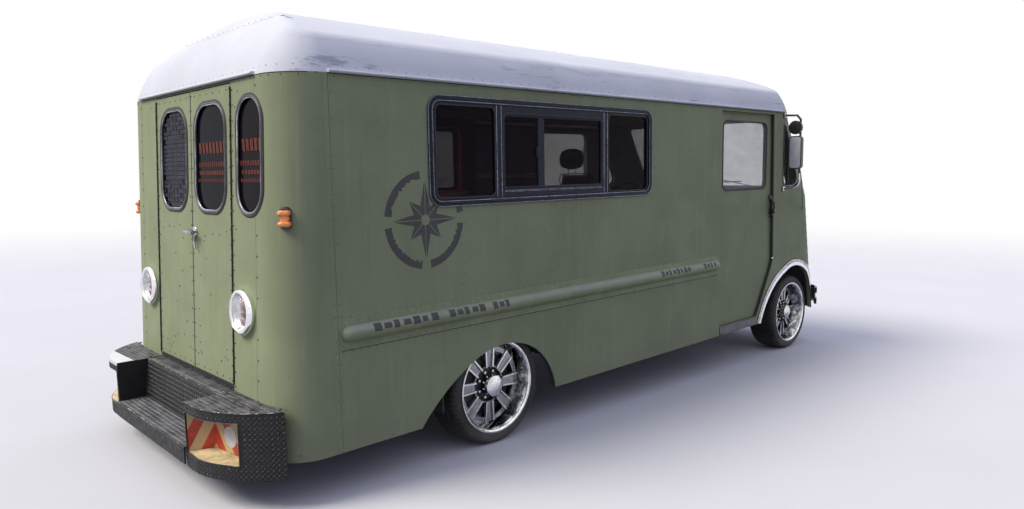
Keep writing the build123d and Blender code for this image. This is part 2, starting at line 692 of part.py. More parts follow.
def front_axle():
    """I-beam with an eye for the kingpin at each end."""
    beam = block(-32, 32, -KINGPIN_Y + 20, KINGPIN_Y - 20, -BEAM_HALF, BEAM_HALF)
    for x0, x1 in ((14, 40), (-40, -14)):
        beam -= block(x0, x1, -KINGPIN_Y + 90, KINGPIN_Y - 90, -20, 20)
    for y in (-KINGPIN_Y, KINGPIN_Y):
        beam += Pos(0, y, 0) * Cylinder(30, 84)
        beam -= Pos(0, y, 0) * Cylinder(14.4, 90)
    return Pos(FRONT_AXLE_X, 0, TYRE_R) * beam


def knuckle(side):
    """Steering knuckle: kingpin and its two lugs, brake plate, spindle and steering arm."""
    y = -KINGPIN_Y
    parts = [
        Pos(0, y, 0) * Cylinder(14, 144),
        Pos(0, y, 58) * Cylinder(30, 24),
        Pos(0, y, -58) * Cylinder(30, 24),
        block(-30, 30, -BRAKE_Y, y, 46, 70),
        block(-30, 30, -BRAKE_Y, y, -70, -46),
        Pos(0, -BRAKE_Y, 0) * Rot(90, 0, 0) * Cylinder(BRAKE_R, BRAKE_T),
        rod((0, -SPINDLE_Y[0], 0), (0, -SPINDLE_Y[1], 0), 28),
        block(-180, 0, y - 10, y + 16, -70, -52),
    ]
    whole = parts[0]
    for one in parts[1:]:
        whole += one
    return Pos(FRONT_AXLE_X, 0, TYRE_R) * on_side(whole, side)


def drive_shaft():
    """Shaft from the rear axle's bulge to the back of the engine, in the road frame."""
    z0, z1 = SHAFT_Z
    shaft = rod((REAR_AXLE_X, 0, z0), (ENGINE[0] + 60, 0, z1), SHAFT_R)
    shaft &= block(REAR_AXLE_X + BULGE_HALF, 6000, -200, 200, 0, 1000)
    return shaft - Rot(0, -PITCH, 0) * block(*ENGINE)


def tyre(axle_x, side):
    """Low-profile tyre as a turned section of straight lines, tread left plain."""
    half = TYRE_W / 2
    # Radius and width from the tyre's middle, one side of the section
    edge = ((RIM_R + 4, half - 22), (RIM_R + 26, half), (TYRE_R - 24, half - 2),
            (TYRE_R - 7, half - 15), (TYRE_R, half - 38))
    section = outline(*edge, *[(r, -w) for r, w in reversed(edge)])
    ring = revolve(Plane.XY * section, Axis.Y, 360)
    return Pos(axle_x, side * (TYRE_OUTER_Y - half), TYRE_R) * ring


def wheel(axle_x, side):
    """Deep-dish wheel: stepped lip, disc of fluted spokes, sunk hub and a long domed cap."""
    lip = -TYRE_W / 2
    back = TYRE_W / 2
    face = lip + DISH_DEPTH
    rim = outline(
        (RIM_R + 4, lip + 21.5), (RIM_FLANGE_R, lip + 13.5), (RIM_FLANGE_R, lip - 2),
        (RIM_R + 3, lip - 2), (RIM_R - 5, lip + 6), (RIM_R - 5, lip + 12), (RIM_R - 13, lip + 22),
        (DISC_R + 8, face - 16), (DISC_R, face + 2), (DISC_R + 2, face + 20),
        (RIM_R - 24, back - 30), (RIM_R - 4, back - 8), (RIM_R + 4, back - 8),
        (RIM_R + 4, back - 21.5), (RIM_R - 16, back - 44), (RIM_R - 12, lip + 66),
        (RIM_R + 3.6, lip + 30),
    )
    disc = outline((30, face + 10), (HUB_R, face + 10), (HUB_R + 6, face - 4),
                   (DISC_R + 14, face - 10), (DISC_R + 14, face + 6), (HUB_R, face + 23.5),
                   (30, face + 23.5))
    cap_end = lip + CAP_SUNK
    cap = make_face([
        Line((0, face + 12), (CAP_R, face + 12)),
        Line((CAP_R, face + 12), (CAP_R - 4, cap_end + 16)),
        ThreePointArc((CAP_R - 4, cap_end + 16), (CAP_R * 0.6, cap_end + 5), (CAP_TIP_R, cap_end)),
        Polyline((CAP_TIP_R, cap_end), (0, cap_end), (0, face + 12)),
    ])
    whole = revolve(Plane.XY * rim, Axis.Y, 360)
    plate = revolve(Plane.XY * disc, Axis.Y, 360)
    window = fillet(outline((WINDOW_R[0], -15), (WINDOW_R[1], -46), (WINDOW_R[1], 46),
                            (WINDOW_R[0], 15)).vertices(), 8)
    ridge = ((HUB_R + 7, 31), (DISC_R + 14, 39), (DISC_R + 14, 29), (HUB_R + 7, 21))
    for i in range(SPOKES):
        turn = Rot(0, 360 * (i + 0.5) / SPOKES, 0)
        plate -= turn * along_y(window, face - 60, face + 60)
    for i in range(SPOKES):
        turn = Rot(0, 360 * i / SPOKES, 0)
        for sign in (-1, 1):
            rail = outline(*[(r, sign * w) for r, w in ridge])
            plate += turn * along_y(rail, face - 19, face - 2)
    whole = whole + plate + revolve(Plane.XY * cap, Axis.Y, 360)
    bore_end = -(SPINDLE_Y[1] + 0.5 - (TYRE_OUTER_Y - TYRE_W / 2))
    whole -= rod((0, bore_end, 0), (0, face + 40, 0), 28.4)
    return Pos(axle_x, side * (TYRE_OUTER_Y - TYRE_W / 2), TYRE_R) * on_side(whole, side)


# Outside fittings

def rub_rail():
    """Half-round moulding on its flat flange, rounded at both ends."""
    plate = along_y(pane(345, 3986, 765, 927, 60), -HALF_W - 3, -HALF_W)
    bar = Pos(0, -HALF_W - 3, 847) * Rot(0, 90, 0) * Pos(0, 0, 395) * Cylinder(
        44, 3530, align=(Align.CENTER, Align.CENTER, Align.MIN))
    ends = [Pos(x, -HALF_W - 3, 847) * Sphere(44) for x in (395, 3925)]
    keep = block(300, 4000, -HALF_W - 60, -HALF_W - 3, 700, 1000)
    return plate + ((bar + ends[0] + ends[1]) & keep)


def arch_trims():
    """Bright strip round each front wheel opening, on the body's surface."""
    ring = along_y(arch_face("front") - arch_face("front", ARCH_TRIM_W), -1300, -700)
    ring &= block(4000, AHEAD, -1300, -700, SKIRT_Z, 2000)
    return (ring & cab_form(9)) - cab_form(0)


def rear_bumper():
    """Step bumper: ledge, riser and tread, with its two brackets under the frame rails."""
    step = outline((RAKE * LEDGE_Z, LEDGE_Z), (-66, LEDGE_Z), (-92, TREAD_TOP_Z),
                   (TREAD_REAR_X, TREAD_TOP_Z), (TREAD_REAR_X, TREAD_FOOT_Z),
                   (TREAD_REAR_X + 8, TREAD_FOOT_Z), (TREAD_REAR_X + 8, TREAD_TOP_Z - 8),
                   (-84, TREAD_TOP_Z - 8), (-58, LEDGE_Z - 8), (RAKE * (LEDGE_Z - 8), LEDGE_Z - 8))
    bumper = along_y(step, -TOWER_Y, TOWER_Y)
    for bracket in both_sides(block(-80, 150, -RAIL_Y, -RAIL_Y + 60, RAIL_Z[0] - 36, RAIL_Z[0])):
        bumper += bracket
    return bumper


def tower_plan(inset):
    """Plan of a tower's outside, its rear and outer faces moved in by inset."""
    x, y = TOWER_REAR_X + inset, -TOWER_Y
    end_x, end_y = TOWER_END
    return make_face([
        Line((x, y), (x, -700)),
        ThreePointArc((x, -700), (-160 + inset * 0.7, -925 + inset * 0.7), (end_x, end_y + inset)),
        Line((end_x, end_y + inset), (end_x, y)),
        Line((end_x, y), (x, y)),
    ])


def tower(side):
    """Hollow bumper tower, open below, with a lined pocket in its rear face."""
    foot, top = TREAD_FOOT_Z - 12, LEDGE_Z + 4
    shell = along_z(tower_plan(0), foot, top)
    shell -= along_z(tower_plan(TOWER_SKIN) & Pos(-100, -TOWER_Y - TOWER_SKIN - 300) * Rectangle(600, 600),
                     foot - 8, top - TOWER_SKIN)
    pocket_face = outline(*POCKET)
    lining = along_z(offset(pocket_face, POCKET_SKIN), POCKET_Z[0] - POCKET_SKIN,
                     POCKET_Z[1] + POCKET_SKIN) & along_z(tower_plan(2), foot, top)
    whole = (shell + lining) - along_z(pocket_face, *POCKET_Z)
    return on_side(whole - rear_form(0.2), side)


def front_bumper():
    """Two-ridged bar that wraps round the front corners, with brackets back to the rails."""
    x1, half = FRONT_BUMPER_X, HALF_W + FRONT_BUMPER_OUT
    z0, z1 = FRONT_BUMPER_Z
    third = (z1 - z0) / 3

    def plan(inset):
        return Pos(x1 - 500, 0) * RectangleRounded(1000, 2 * (half - inset), FRONT_BUMPER_R - inset) & (
            Pos(x1 - 500 - inset, 0) * Rectangle(1000, 2 * half))

    web = along_z(plan(22) - plan(34), z0 + 10, z1 - 10)
    low = along_z(plan(0) - plan(34), z0, z0 + third)
    high = along_z(plan(0) - plan(34), z1 - third, z1)
    bar = (web + low + high) & block(FRONT_BUMPER_END_X, AHEAD, -1300, 1300, 0, 600)
    for bracket in both_sides(bumper_bracket(0)):
        bar += bracket
    return bar


def bumper_bracket(grow):
    """Right bracket from the end of the frame rail out to the front bumper."""
    return block(RAIL_X[1], FRONT_BUMPER_X - 30, -RAIL_Y - grow, -RAIL_Y + 60 + grow,
                 350 - grow, 400 + grow)


def grille():
    """Frame with seven bars, and the flange that seats it on the nose."""
    frame = pane(-GRILLE_HALF_W, GRILLE_HALF_W, *GRILLE_Z, GRILLE_R + GLASS_EASE)
    frame -= pane(-GRILLE_HALF_W + 18, GRILLE_HALF_W - 18, GRILLE_Z[0] + 18, GRILLE_Z[1] - 18, 42)
    for i in range(7):
        frame += Pos(0, GRILLE_Z[0] + 42 + i * 40) * Rectangle(2 * GRILLE_HALF_W - 30, 14)
    flange = pane(-GRILLE_HALF_W - 16, GRILLE_HALF_W + 16, GRILLE_Z[0] - 16, GRILLE_Z[1] + 16, 76)
    flange -= pane(-GRILLE_HALF_W + 18, GRILLE_HALF_W - 18, GRILLE_Z[0] + 18, GRILLE_Z[1] - 18, 42)
    slabs = []
    for face, back, out in ((frame, 30, 0), (flange, 0, 7)):
        slab = outline((screen_x(600, back), 600), (screen_x(1000, back), 1000),
                       (screen_x(1000, -out), 1000), (screen_x(600, -out), 600))
        slabs.append(along_x(face, 5500, AHEAD) & along_y(slab, -700, 700))
    return slabs[0] + slabs[1]


def headlamp_plane():
    """Plane on the nose's face at the right headlamp, pointing out."""
    rise = COWL[1] - SKIRT_Z
    run = NOSE_FOOT_X - COWL[0]
    return Plane(origin=(screen_x(HEADLAMP_Z), -HEADLAMP_Y, HEADLAMP_Z), x_dir=(0, 1, 0),
                 z_dir=(rise, 0, run))


def headlamp():
    """Bowl behind the nose's face, bezel ring on it and a domed lens."""
    bowl = Pos(0, 0, -30) * Cylinder(HEADLAMP_R - 2, 60)
    bezel = Pos(0, 0, 9) * Cylinder(HEADLAMP_R + 16, 18)
    dome = Pos(0, 0, -150) * Sphere(190) & Pos(0, 0, 30) * Box(300, 300, 24)
    return headlamp_plane() * (bowl + bezel + dome)


def rear_lamp():
    """Round lamp standing proud of the rear wall, with a domed clear front."""
    x = RAKE * REAR_LAMP_Z
    base = Pos(-14, 0, 0) * Rot(0, 90, 0) * Cylinder(REAR_LAMP_R, 52)
    dome = Pos(100, 0, 0) * Sphere(170) & Pos(-54, 0, 0) * Box(34, 400, 400)
    lamp = Pos(x, -REAR_LAMP_Y, REAR_LAMP_Z) * (base + dome)
    return lamp - rear_form(0)


def side_marker():
    """Two stacked amber lenses on one base, on the rounded corner."""
    angle = math.radians(MARKER_ANGLE)
    cx, cy = CORNER_R + RAKE * MARKER_Z, -(HALF_W - CORNER_R)
    direction = (-math.sin(angle), -math.cos(angle))
    spot = (cx + direction[0] * (CORNER_R - 8), cy + direction[1] * (CORNER_R - 8), MARKER_Z)
    plane = Plane(origin=spot, x_dir=(-direction[1], direction[0], 0),
                  z_dir=(direction[0], direction[1], 0))
    marker = extrude(plane * RectangleRounded(52, 116, 20), 24)
    for v in (-28, 28):
        marker += plane * Pos(0, v, 34) * Cylinder(24, 24)
        marker += plane * Pos(0, v, 46) * Sphere(24)
    return marker - rear_form(0.1)


def mirror_arm():
    """Outside mirrors on their looped tube, with a foot at each end on the cab side."""
    x = MIRROR_X
    y_out = (MIRROR_Y[0] + MIRROR_Y[1]) / 2 - 28
    foot_y, high, low = -HALF_W, 2137, 1456
    path = [(foot_y, high), (y_out + 34, high - 6), (y_out, high - 46), (y_out, low + 66),
            (y_out + 60, low + 8), (foot_y, low)]
    arm = None
    for a, b in zip(path, path[1:]):
        bar = rod((x + 26, a[0], a[1]), (x + 26, b[0], b[1]), 10)
        arm = bar if arm is None else arm + bar
    for y, z in path[1:-1]:
        arm += Pos(x + 26, y, z) * Sphere(10)
    for z in (high, low):
        arm += block(x, x + 52, foot_y - 8, foot_y, z - 26, z + 26)
    head = along_x(pane(*MIRROR_Y, *MIRROR_Z, 34), x - 14, x + 24)
    mid = (MIRROR_Y[0] + MIRROR_Y[1]) / 2
    disc = Pos(x + 5, mid + 8, ROUND_MIRROR_Z) * Rot(0, 90, 0) * Cylinder(62, 30)
    arm -= block(x - 100, x + 100, foot_y, foot_y + 100, 1000, 2500)
    return arm + head + disc


# Cab and kitchen fittings

def dashboard():
    face = outline((5060, 1000), (5060, 1230), (5420, 1330), (screen_x(1330, 60), 1330),
                   (screen_x(1000, 60), 1000))
    return along_y(face, -1030, 1030) & cab_form(-WALL - 4)


def seat():
    """Driver's seat: pedestal, and the three cushions as plain solids."""
    x = SEAT_X
    base = block(x + 70, x + 400, 420, 800, FLOOR_TOP, 860)
    cushion = block(x, x + 460, 380, 840, 862, 980)
    back = outline((x - 70, 984), (x + 50, 984), (x - 50, 1650), (x - 150, 1650))
    rest = outline((x - 142, 1660), (x - 60, 1660), (x - 75, 1870), (x - 160, 1870))
    return {
        "seat_base": [base],
        "seat_cushions": [cushion, along_y(back, 380, 840), along_y(rest, 485, 735)],
    }


def steering():
    """Large flat wheel on its column, which ends on the dashboard."""
    axis = Plane(origin=(4890, 610, 1400), z_dir=(-0.5, 0, 0.866))
    whole = axis * Torus(210, 15)
    for i in range(3):
        whole += axis * Rot(0, 0, 120 * i + 90) * Pos(102, 0, -4) * Box(204, 26, 12)
    whole += axis * Pos(0, 0, -10) * Cylinder(44, 50)
    whole += axis * Pos(0, 0, -190) * Cylinder(24, 330)
    return whole - dashboard()


def galley():
    """Kitchen counter along the left wall: worktop, plinth and open-backed cupboards."""
    x0, x1 = GALLEY_X
    y0, y1 = GALLEY_Y
    wide = (x1 - x0) / GALLEY_BAYS
    case = block(x0, x1, y0, y1, FLOOR_TOP, WORKTOP_Z - 30)
    for i in range(GALLEY_BAYS):
        a = x0 + i * wide
        case -= block(a + 18, a + wide - 18, y0 + 18, y1 - 18, FLOOR_TOP + 90, WORKTOP_Z - 48)
        case -= block(a + 14, a + wide - 14, y0 - 1, y0 + 4, FLOOR_TOP + 90, WORKTOP_Z - 60)
    top = block(x0 - 15, x1 + 15, y0 - 20, y1, WORKTOP_Z - 30, WORKTOP_Z)
    return case + top


# Assembly

def body_solids():
    """Every piece drawn in the level body frame, by name."""
    roof = roof_shell()
    rear_cut = block(-500, CORNER_SEAM_X, -1300, 1300, 2000, 3000)
    front_cut = block(ROOF_SEAM_FRONT, AHEAD, -1300, 1300, 2000, 3000)
    pieces = {
        "roof_rear_cap": [roof & rear_cut],
        "roof_middle": [roof - rear_cut - front_cut],
        "roof_front_cap": [roof & front_cut],
        "chassis_frame": [chassis_frame()],
        "floor": [floor_pan()],
        "wheel_boxes": both_sides(wheel_box()) + both_sides(wheel_housing()),
        "step_wells": both_sides(step_well()),
        "rear_frame": [rear_frame()],
        "windscreen_glass": windscreen_glass(),
        "side_window_frames": both_sides(side_window_frame()),
        "side_glass": side_glass(),
        "rub_rails": both_sides(rub_rail()),
        "arch_trims": both_sides(arch_trims()),
        "rear_bumper_step": [rear_bumper()],
        "rear_bumper_towers": both_sides(tower(RIGHT)),
        "front_bumper": [front_bumper()],
        "grille": [grille()],
        "headlamps": both_sides(headlamp()),
        "rear_lamps": both_sides(rear_lamp()),
        "side_markers": both_sides(side_marker()),
        "mirrors": both_sides(mirror_arm()),
        "dashboard": [dashboard()],
        "steering_wheel": [steering()],
        "bulkhead": [bulkhead()],
        "engine_block": [block(*ENGINE)],
        "fuel_tank": [fuel_tank()],
        "exhaust": [exhaust()],
        "galley": [galley()],
    }
    pieces.update({name: [shape] for name, shape in cab_parts().items()})
    pieces.update(seat())
    for side, word in ((RIGHT, "right"), (LEFT, "left")):
        pieces["side_wall_" + word] = [side_wall(side)]
        pieces["corner_panel_" + word] = [corner_panel(side)]
        pieces["rear_door_" + word] = [rear_door(side)]
        pieces["rear_door_glass_" + word] = [rear_door_glass(side)]
        pieces["sliding_door_" + word] = [sliding_door(side)]
        pieces["sliding_door_glass_" + word] = [sliding_door_glass(side)]
    return pieces


def road_solids():
    """Springs, axles, knuckles and wheels, which stand level on the road."""
    pieces = {
        "rear_axle": [rear_axle()],
        "front_axle": [front_axle()],
        "drive_shaft": [drive_shaft()],
        "leaf_springs": leaf_springs(),
    }
    for side, word in ((RIGHT, "right"), (LEFT, "left")):
        pieces["knuckle_" + word] = [knuckle(side)]
        for axle_x, end in ((FRONT_AXLE_X, "front"), (REAR_AXLE_X, "rear")):
            pieces["tyre_" + end + "_" + word] = [tyre(axle_x, side)]
            pieces["wheel_" + end + "_" + word] = [wheel(axle_x, side)]
    return pieces


def write(name, shapes, place):
    """Writes one node, its solids moved to where the van stands."""
    solids = []
    for shape in shapes:
        solids += list((place * shape).solids())
    body = solids[0] if len(solids) == 1 else Compound(children=solids)
    export_step(body, os.path.join("parts", name + ".step"))


def main():
    """Builds every node and writes it to parts."""
    os.makedirs("parts", exist_ok=True)
    stand = Pos(-MID_X, 0, 0) * Rot(0, -PITCH, 0)
    for name, shapes in body_solids().items():
        write(name, shapes, stand)
    for name, shapes in road_solids().items():
        write(name, shapes, Pos(-MID_X, 0, 0))


main()
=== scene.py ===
"""Walk-in step van food truck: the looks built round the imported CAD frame."""

import logging
import math
import random
from dataclasses import dataclass
from enum import Enum
from typing import Any, Callable, Iterable, Optional, Sequence, Union

import bmesh
import bpy
from mathutils import Matrix, Vector


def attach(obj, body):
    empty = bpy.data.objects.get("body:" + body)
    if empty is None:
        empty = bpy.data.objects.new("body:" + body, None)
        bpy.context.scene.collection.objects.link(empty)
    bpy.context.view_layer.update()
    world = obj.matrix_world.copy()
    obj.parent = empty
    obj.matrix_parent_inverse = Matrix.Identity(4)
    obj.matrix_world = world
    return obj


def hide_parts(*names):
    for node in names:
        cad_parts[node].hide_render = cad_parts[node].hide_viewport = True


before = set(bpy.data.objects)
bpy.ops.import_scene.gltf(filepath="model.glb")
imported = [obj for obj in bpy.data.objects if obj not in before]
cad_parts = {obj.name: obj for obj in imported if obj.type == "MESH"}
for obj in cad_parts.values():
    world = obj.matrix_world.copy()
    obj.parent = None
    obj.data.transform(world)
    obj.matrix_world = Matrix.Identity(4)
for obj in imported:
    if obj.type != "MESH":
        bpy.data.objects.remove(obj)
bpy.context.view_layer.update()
LOG = logging.getLogger("food_truck")

Point = tuple[float, float, float]
Flat = tuple[float, float]
Colour = tuple[float, float, float]
Box4 = tuple[float, float, float, float]
Place = tuple[Vector, Vector]
Trio = tuple[Vector, Vector, Vector]
Path = Sequence[Sequence[float]]
Socket = bpy.types.NodeSocket
Material = bpy.types.Material
Thing = bpy.types.Object

# The body stands nose up by PITCH, and MID_X is the middle of its length, as in the CAD.
PITCH = math.radians(1.39)
MID_X = 2889.195125
MM = 0.001
VAN = "van"
RIGHT, LEFT = -1, 1
SIDES = ((RIGHT, "right"), (LEFT, "left"))
AHEAD, BACK = Vector((1, 0, 0)), Vector((-1, 0, 0))
ACROSS, UP = Vector((0, 1, 0)), Vector((0, 0, 1))
FLANKS = ((RIGHT, -ACROSS), (LEFT, ACROSS))

# Body sizes of the CAD source that several pieces share, in millimetres
HALF_W = 1125.0
SKIRT_Z = 226.0
DRIP_Z = 2163.0
RAKE = 0.045
CORNER_R = 240.0
CORNER_SEAM_X = 337.0
CORNER_SEAM_Y = 835.0
DOOR_HALF = 555.0
REAR_AXLE_X = 1456.0
FRONT_AXLE_X = 5397.0
TYRE_R = 362.0
COWL = (5765.0, 1416.0)
SCREEN_TOP_X = 5345.0
NOSE_FOOT_X = 5974.0
SCREEN_OUT = Vector((DRIP_Z - COWL[1], 0, COWL[0] - SCREEN_TOP_X)).normalized()
NOSE_OUT = Vector((COWL[1] - SKIRT_Z, 0, NOSE_FOOT_X - COWL[0])).normalized()


class Stand(Enum):
    """Which frame a piece's points are written in."""

    BODY = "body"
    ROAD = "road"


def stand_matrix(stand: Stand) -> Matrix:
    """Gives the matrix from a frame in millimetres to the row frame in metres."""
    shift = Matrix.Translation((-MID_X * MM, 0.0, 0.0))
    turn = Matrix.Rotation(-PITCH, 4, "Y") if stand is Stand.BODY else Matrix.Identity(4)
    return shift @ turn @ Matrix.Scale(MM, 4)


def rear_x(y: float, z: float) -> float:
    """Gives the x of the rear wall's outer surface, round its corners too."""
    over = max(abs(y) - (HALF_W - CORNER_R), 0.0)
    return RAKE * z + CORNER_R - math.sqrt(max(CORNER_R ** 2 - over ** 2, 0.0))


def on_rear(y: float, z: float, off: float = 0.0) -> Point:
    """Gives a point of the rear wall, or off millimetres forward of it."""
    return (rear_x(y, z) + off, y, z)


def on_screen(y: float, z: float, off: float = 0.0) -> Point:
    """Gives a point of the cab's front face, or off millimetres forward of it."""
    return (screen_x(z) + off, y, z)


def rear_out(y: float) -> Vector:
    """Gives the rear wall's outward direction at a distance from the centre line."""
    over = max(abs(y) - (HALF_W - CORNER_R), 0.0)
    slope = min(over / CORNER_R, 1.0)
    return Vector((-math.sqrt(1 - slope ** 2), math.copysign(slope, y), RAKE)).normalized()


def screen_x(z: float) -> float:
    """Gives the cab's front face at a height, above or below the cowl."""
    if z > COWL[1]:
        return COWL[0] + (z - COWL[1]) / (DRIP_Z - COWL[1]) * (SCREEN_TOP_X - COWL[0])
    return COWL[0] + (COWL[1] - z) / (COWL[1] - SKIRT_Z) * (NOSE_FOOT_X - COWL[0])


def arc_points(a: Flat, b: Flat, c: Flat, count: int) -> list[Flat]:
    """Points along the circle from a through b to c, in count equal steps.

    Args:
        a: First point, across and up.
        b: A point on the way.
        c: Last point.
        count: Number of equal steps.

    Returns:
        The points, both ends included.
    """
    d = 2 * (a[0] * (b[1] - c[1]) + b[0] * (c[1] - a[1]) + c[0] * (a[1] - b[1]))
    sq = [p[0] ** 2 + p[1] ** 2 for p in (a, b, c)]
    ux = (sq[0] * (b[1] - c[1]) + sq[1] * (c[1] - a[1]) + sq[2] * (a[1] - b[1])) / d
    uy = (sq[0] * (c[0] - b[0]) + sq[1] * (a[0] - c[0]) + sq[2] * (b[0] - a[0])) / d
    radius = math.hypot(a[0] - ux, a[1] - uy)
    angles = [math.atan2(p[1] - uy, p[0] - ux) for p in (a, b, c)]
    sweep = (angles[2] - angles[0]) % math.tau
    if (angles[1] - angles[0]) % math.tau > sweep:
        sweep -= math.tau
    return [
        (ux + radius * math.cos(angles[0] + sweep * i / count),
         uy + radius * math.sin(angles[0] + sweep * i / count))
        for i in range(count + 1)
    ]


def rounded_path(x0: float, x1: float, z0: float, z1: float, radius: float,
                 steps: int = 8) -> list[Flat]:
    """Points round a rectangle, anticlockwise, with so many steps in each round corner.

    Args:
        x0, x1: The two sides.
        z0, z1: Foot and top.
        radius: Radius of the corners.
        steps: Steps in each corner.

    Returns:
        The points, without a second first one.
    """
    centres = ((x1 - radius, z0 + radius, -90), (x1 - radius, z1 - radius, 0),
               (x0 + radius, z1 - radius, 90), (x0 + radius, z0 + radius, 180))
    points = []
    for cx, cz, start in centres:
        for i in range(steps + 1):
            angle = math.radians(start + 90 * i / steps)
            points.append((cx + radius * math.cos(angle), cz + radius * math.sin(angle)))
    return points


def grown(box: Box4, by: float, radius: float, steps: int = 8) -> list[Flat]:
    """Points round a rectangle that is grown on every side, its corner radius with it."""
    x0, x1, z0, z1 = box
    return rounded_path(x0 - by, x1 + by, z0 - by, z1 + by, radius + by, steps)


def upright(y: float, outline: Iterable[Flat], shift: float = 0.0) -> list[Point]:
    """Stands an outline of x and z up at a distance from the centre line."""
    return [(x + shift, y, z) for x, z in outline]


def pairs(path: Sequence[Any]) -> list[tuple[Any, Any]]:
    """Gives each item of a path with the next one."""
    return list(zip(path, path[1:]))


def spaced(start: float, end: float, pitch: float) -> list[float]:
    """Even positions from start to end, as near to the pitch as fits."""
    count = max(1, round((end - start) / pitch))
    return [start + (end - start) * i / count for i in range(count + 1)]


def row(start: float, end: float, pitch: float, z: float) -> list[Flat]:
    """Even points of x and z along a level line."""
    return [(x, z) for x in spaced(start, end, pitch)]


def column(x: float, start: float, end: float, pitch: float) -> list[Flat]:
    """Even points of x and z up an upright line."""
    return [(x, z) for z in spaced(start, end, pitch)]


def circle(radius: float, count: int, turn: float = 0.0) -> list[Flat]:
    """Points round a circle, from a part of a step on."""
    angles = [math.tau * (i + turn) / count for i in range(count)]
    return [(radius * math.cos(a), radius * math.sin(a)) for a in angles]


def headings(points: Sequence[Vector], closed: bool) -> list[Vector]:
    """Gives the direction along a path at each of its points."""
    last = len(points) - 1
    return [(points[(i + 1) % (last + 1) if closed else min(i + 1, last)]
             - points[i - 1 if closed else max(i - 1, 0)]).normalized()
            for i in range(last + 1)]


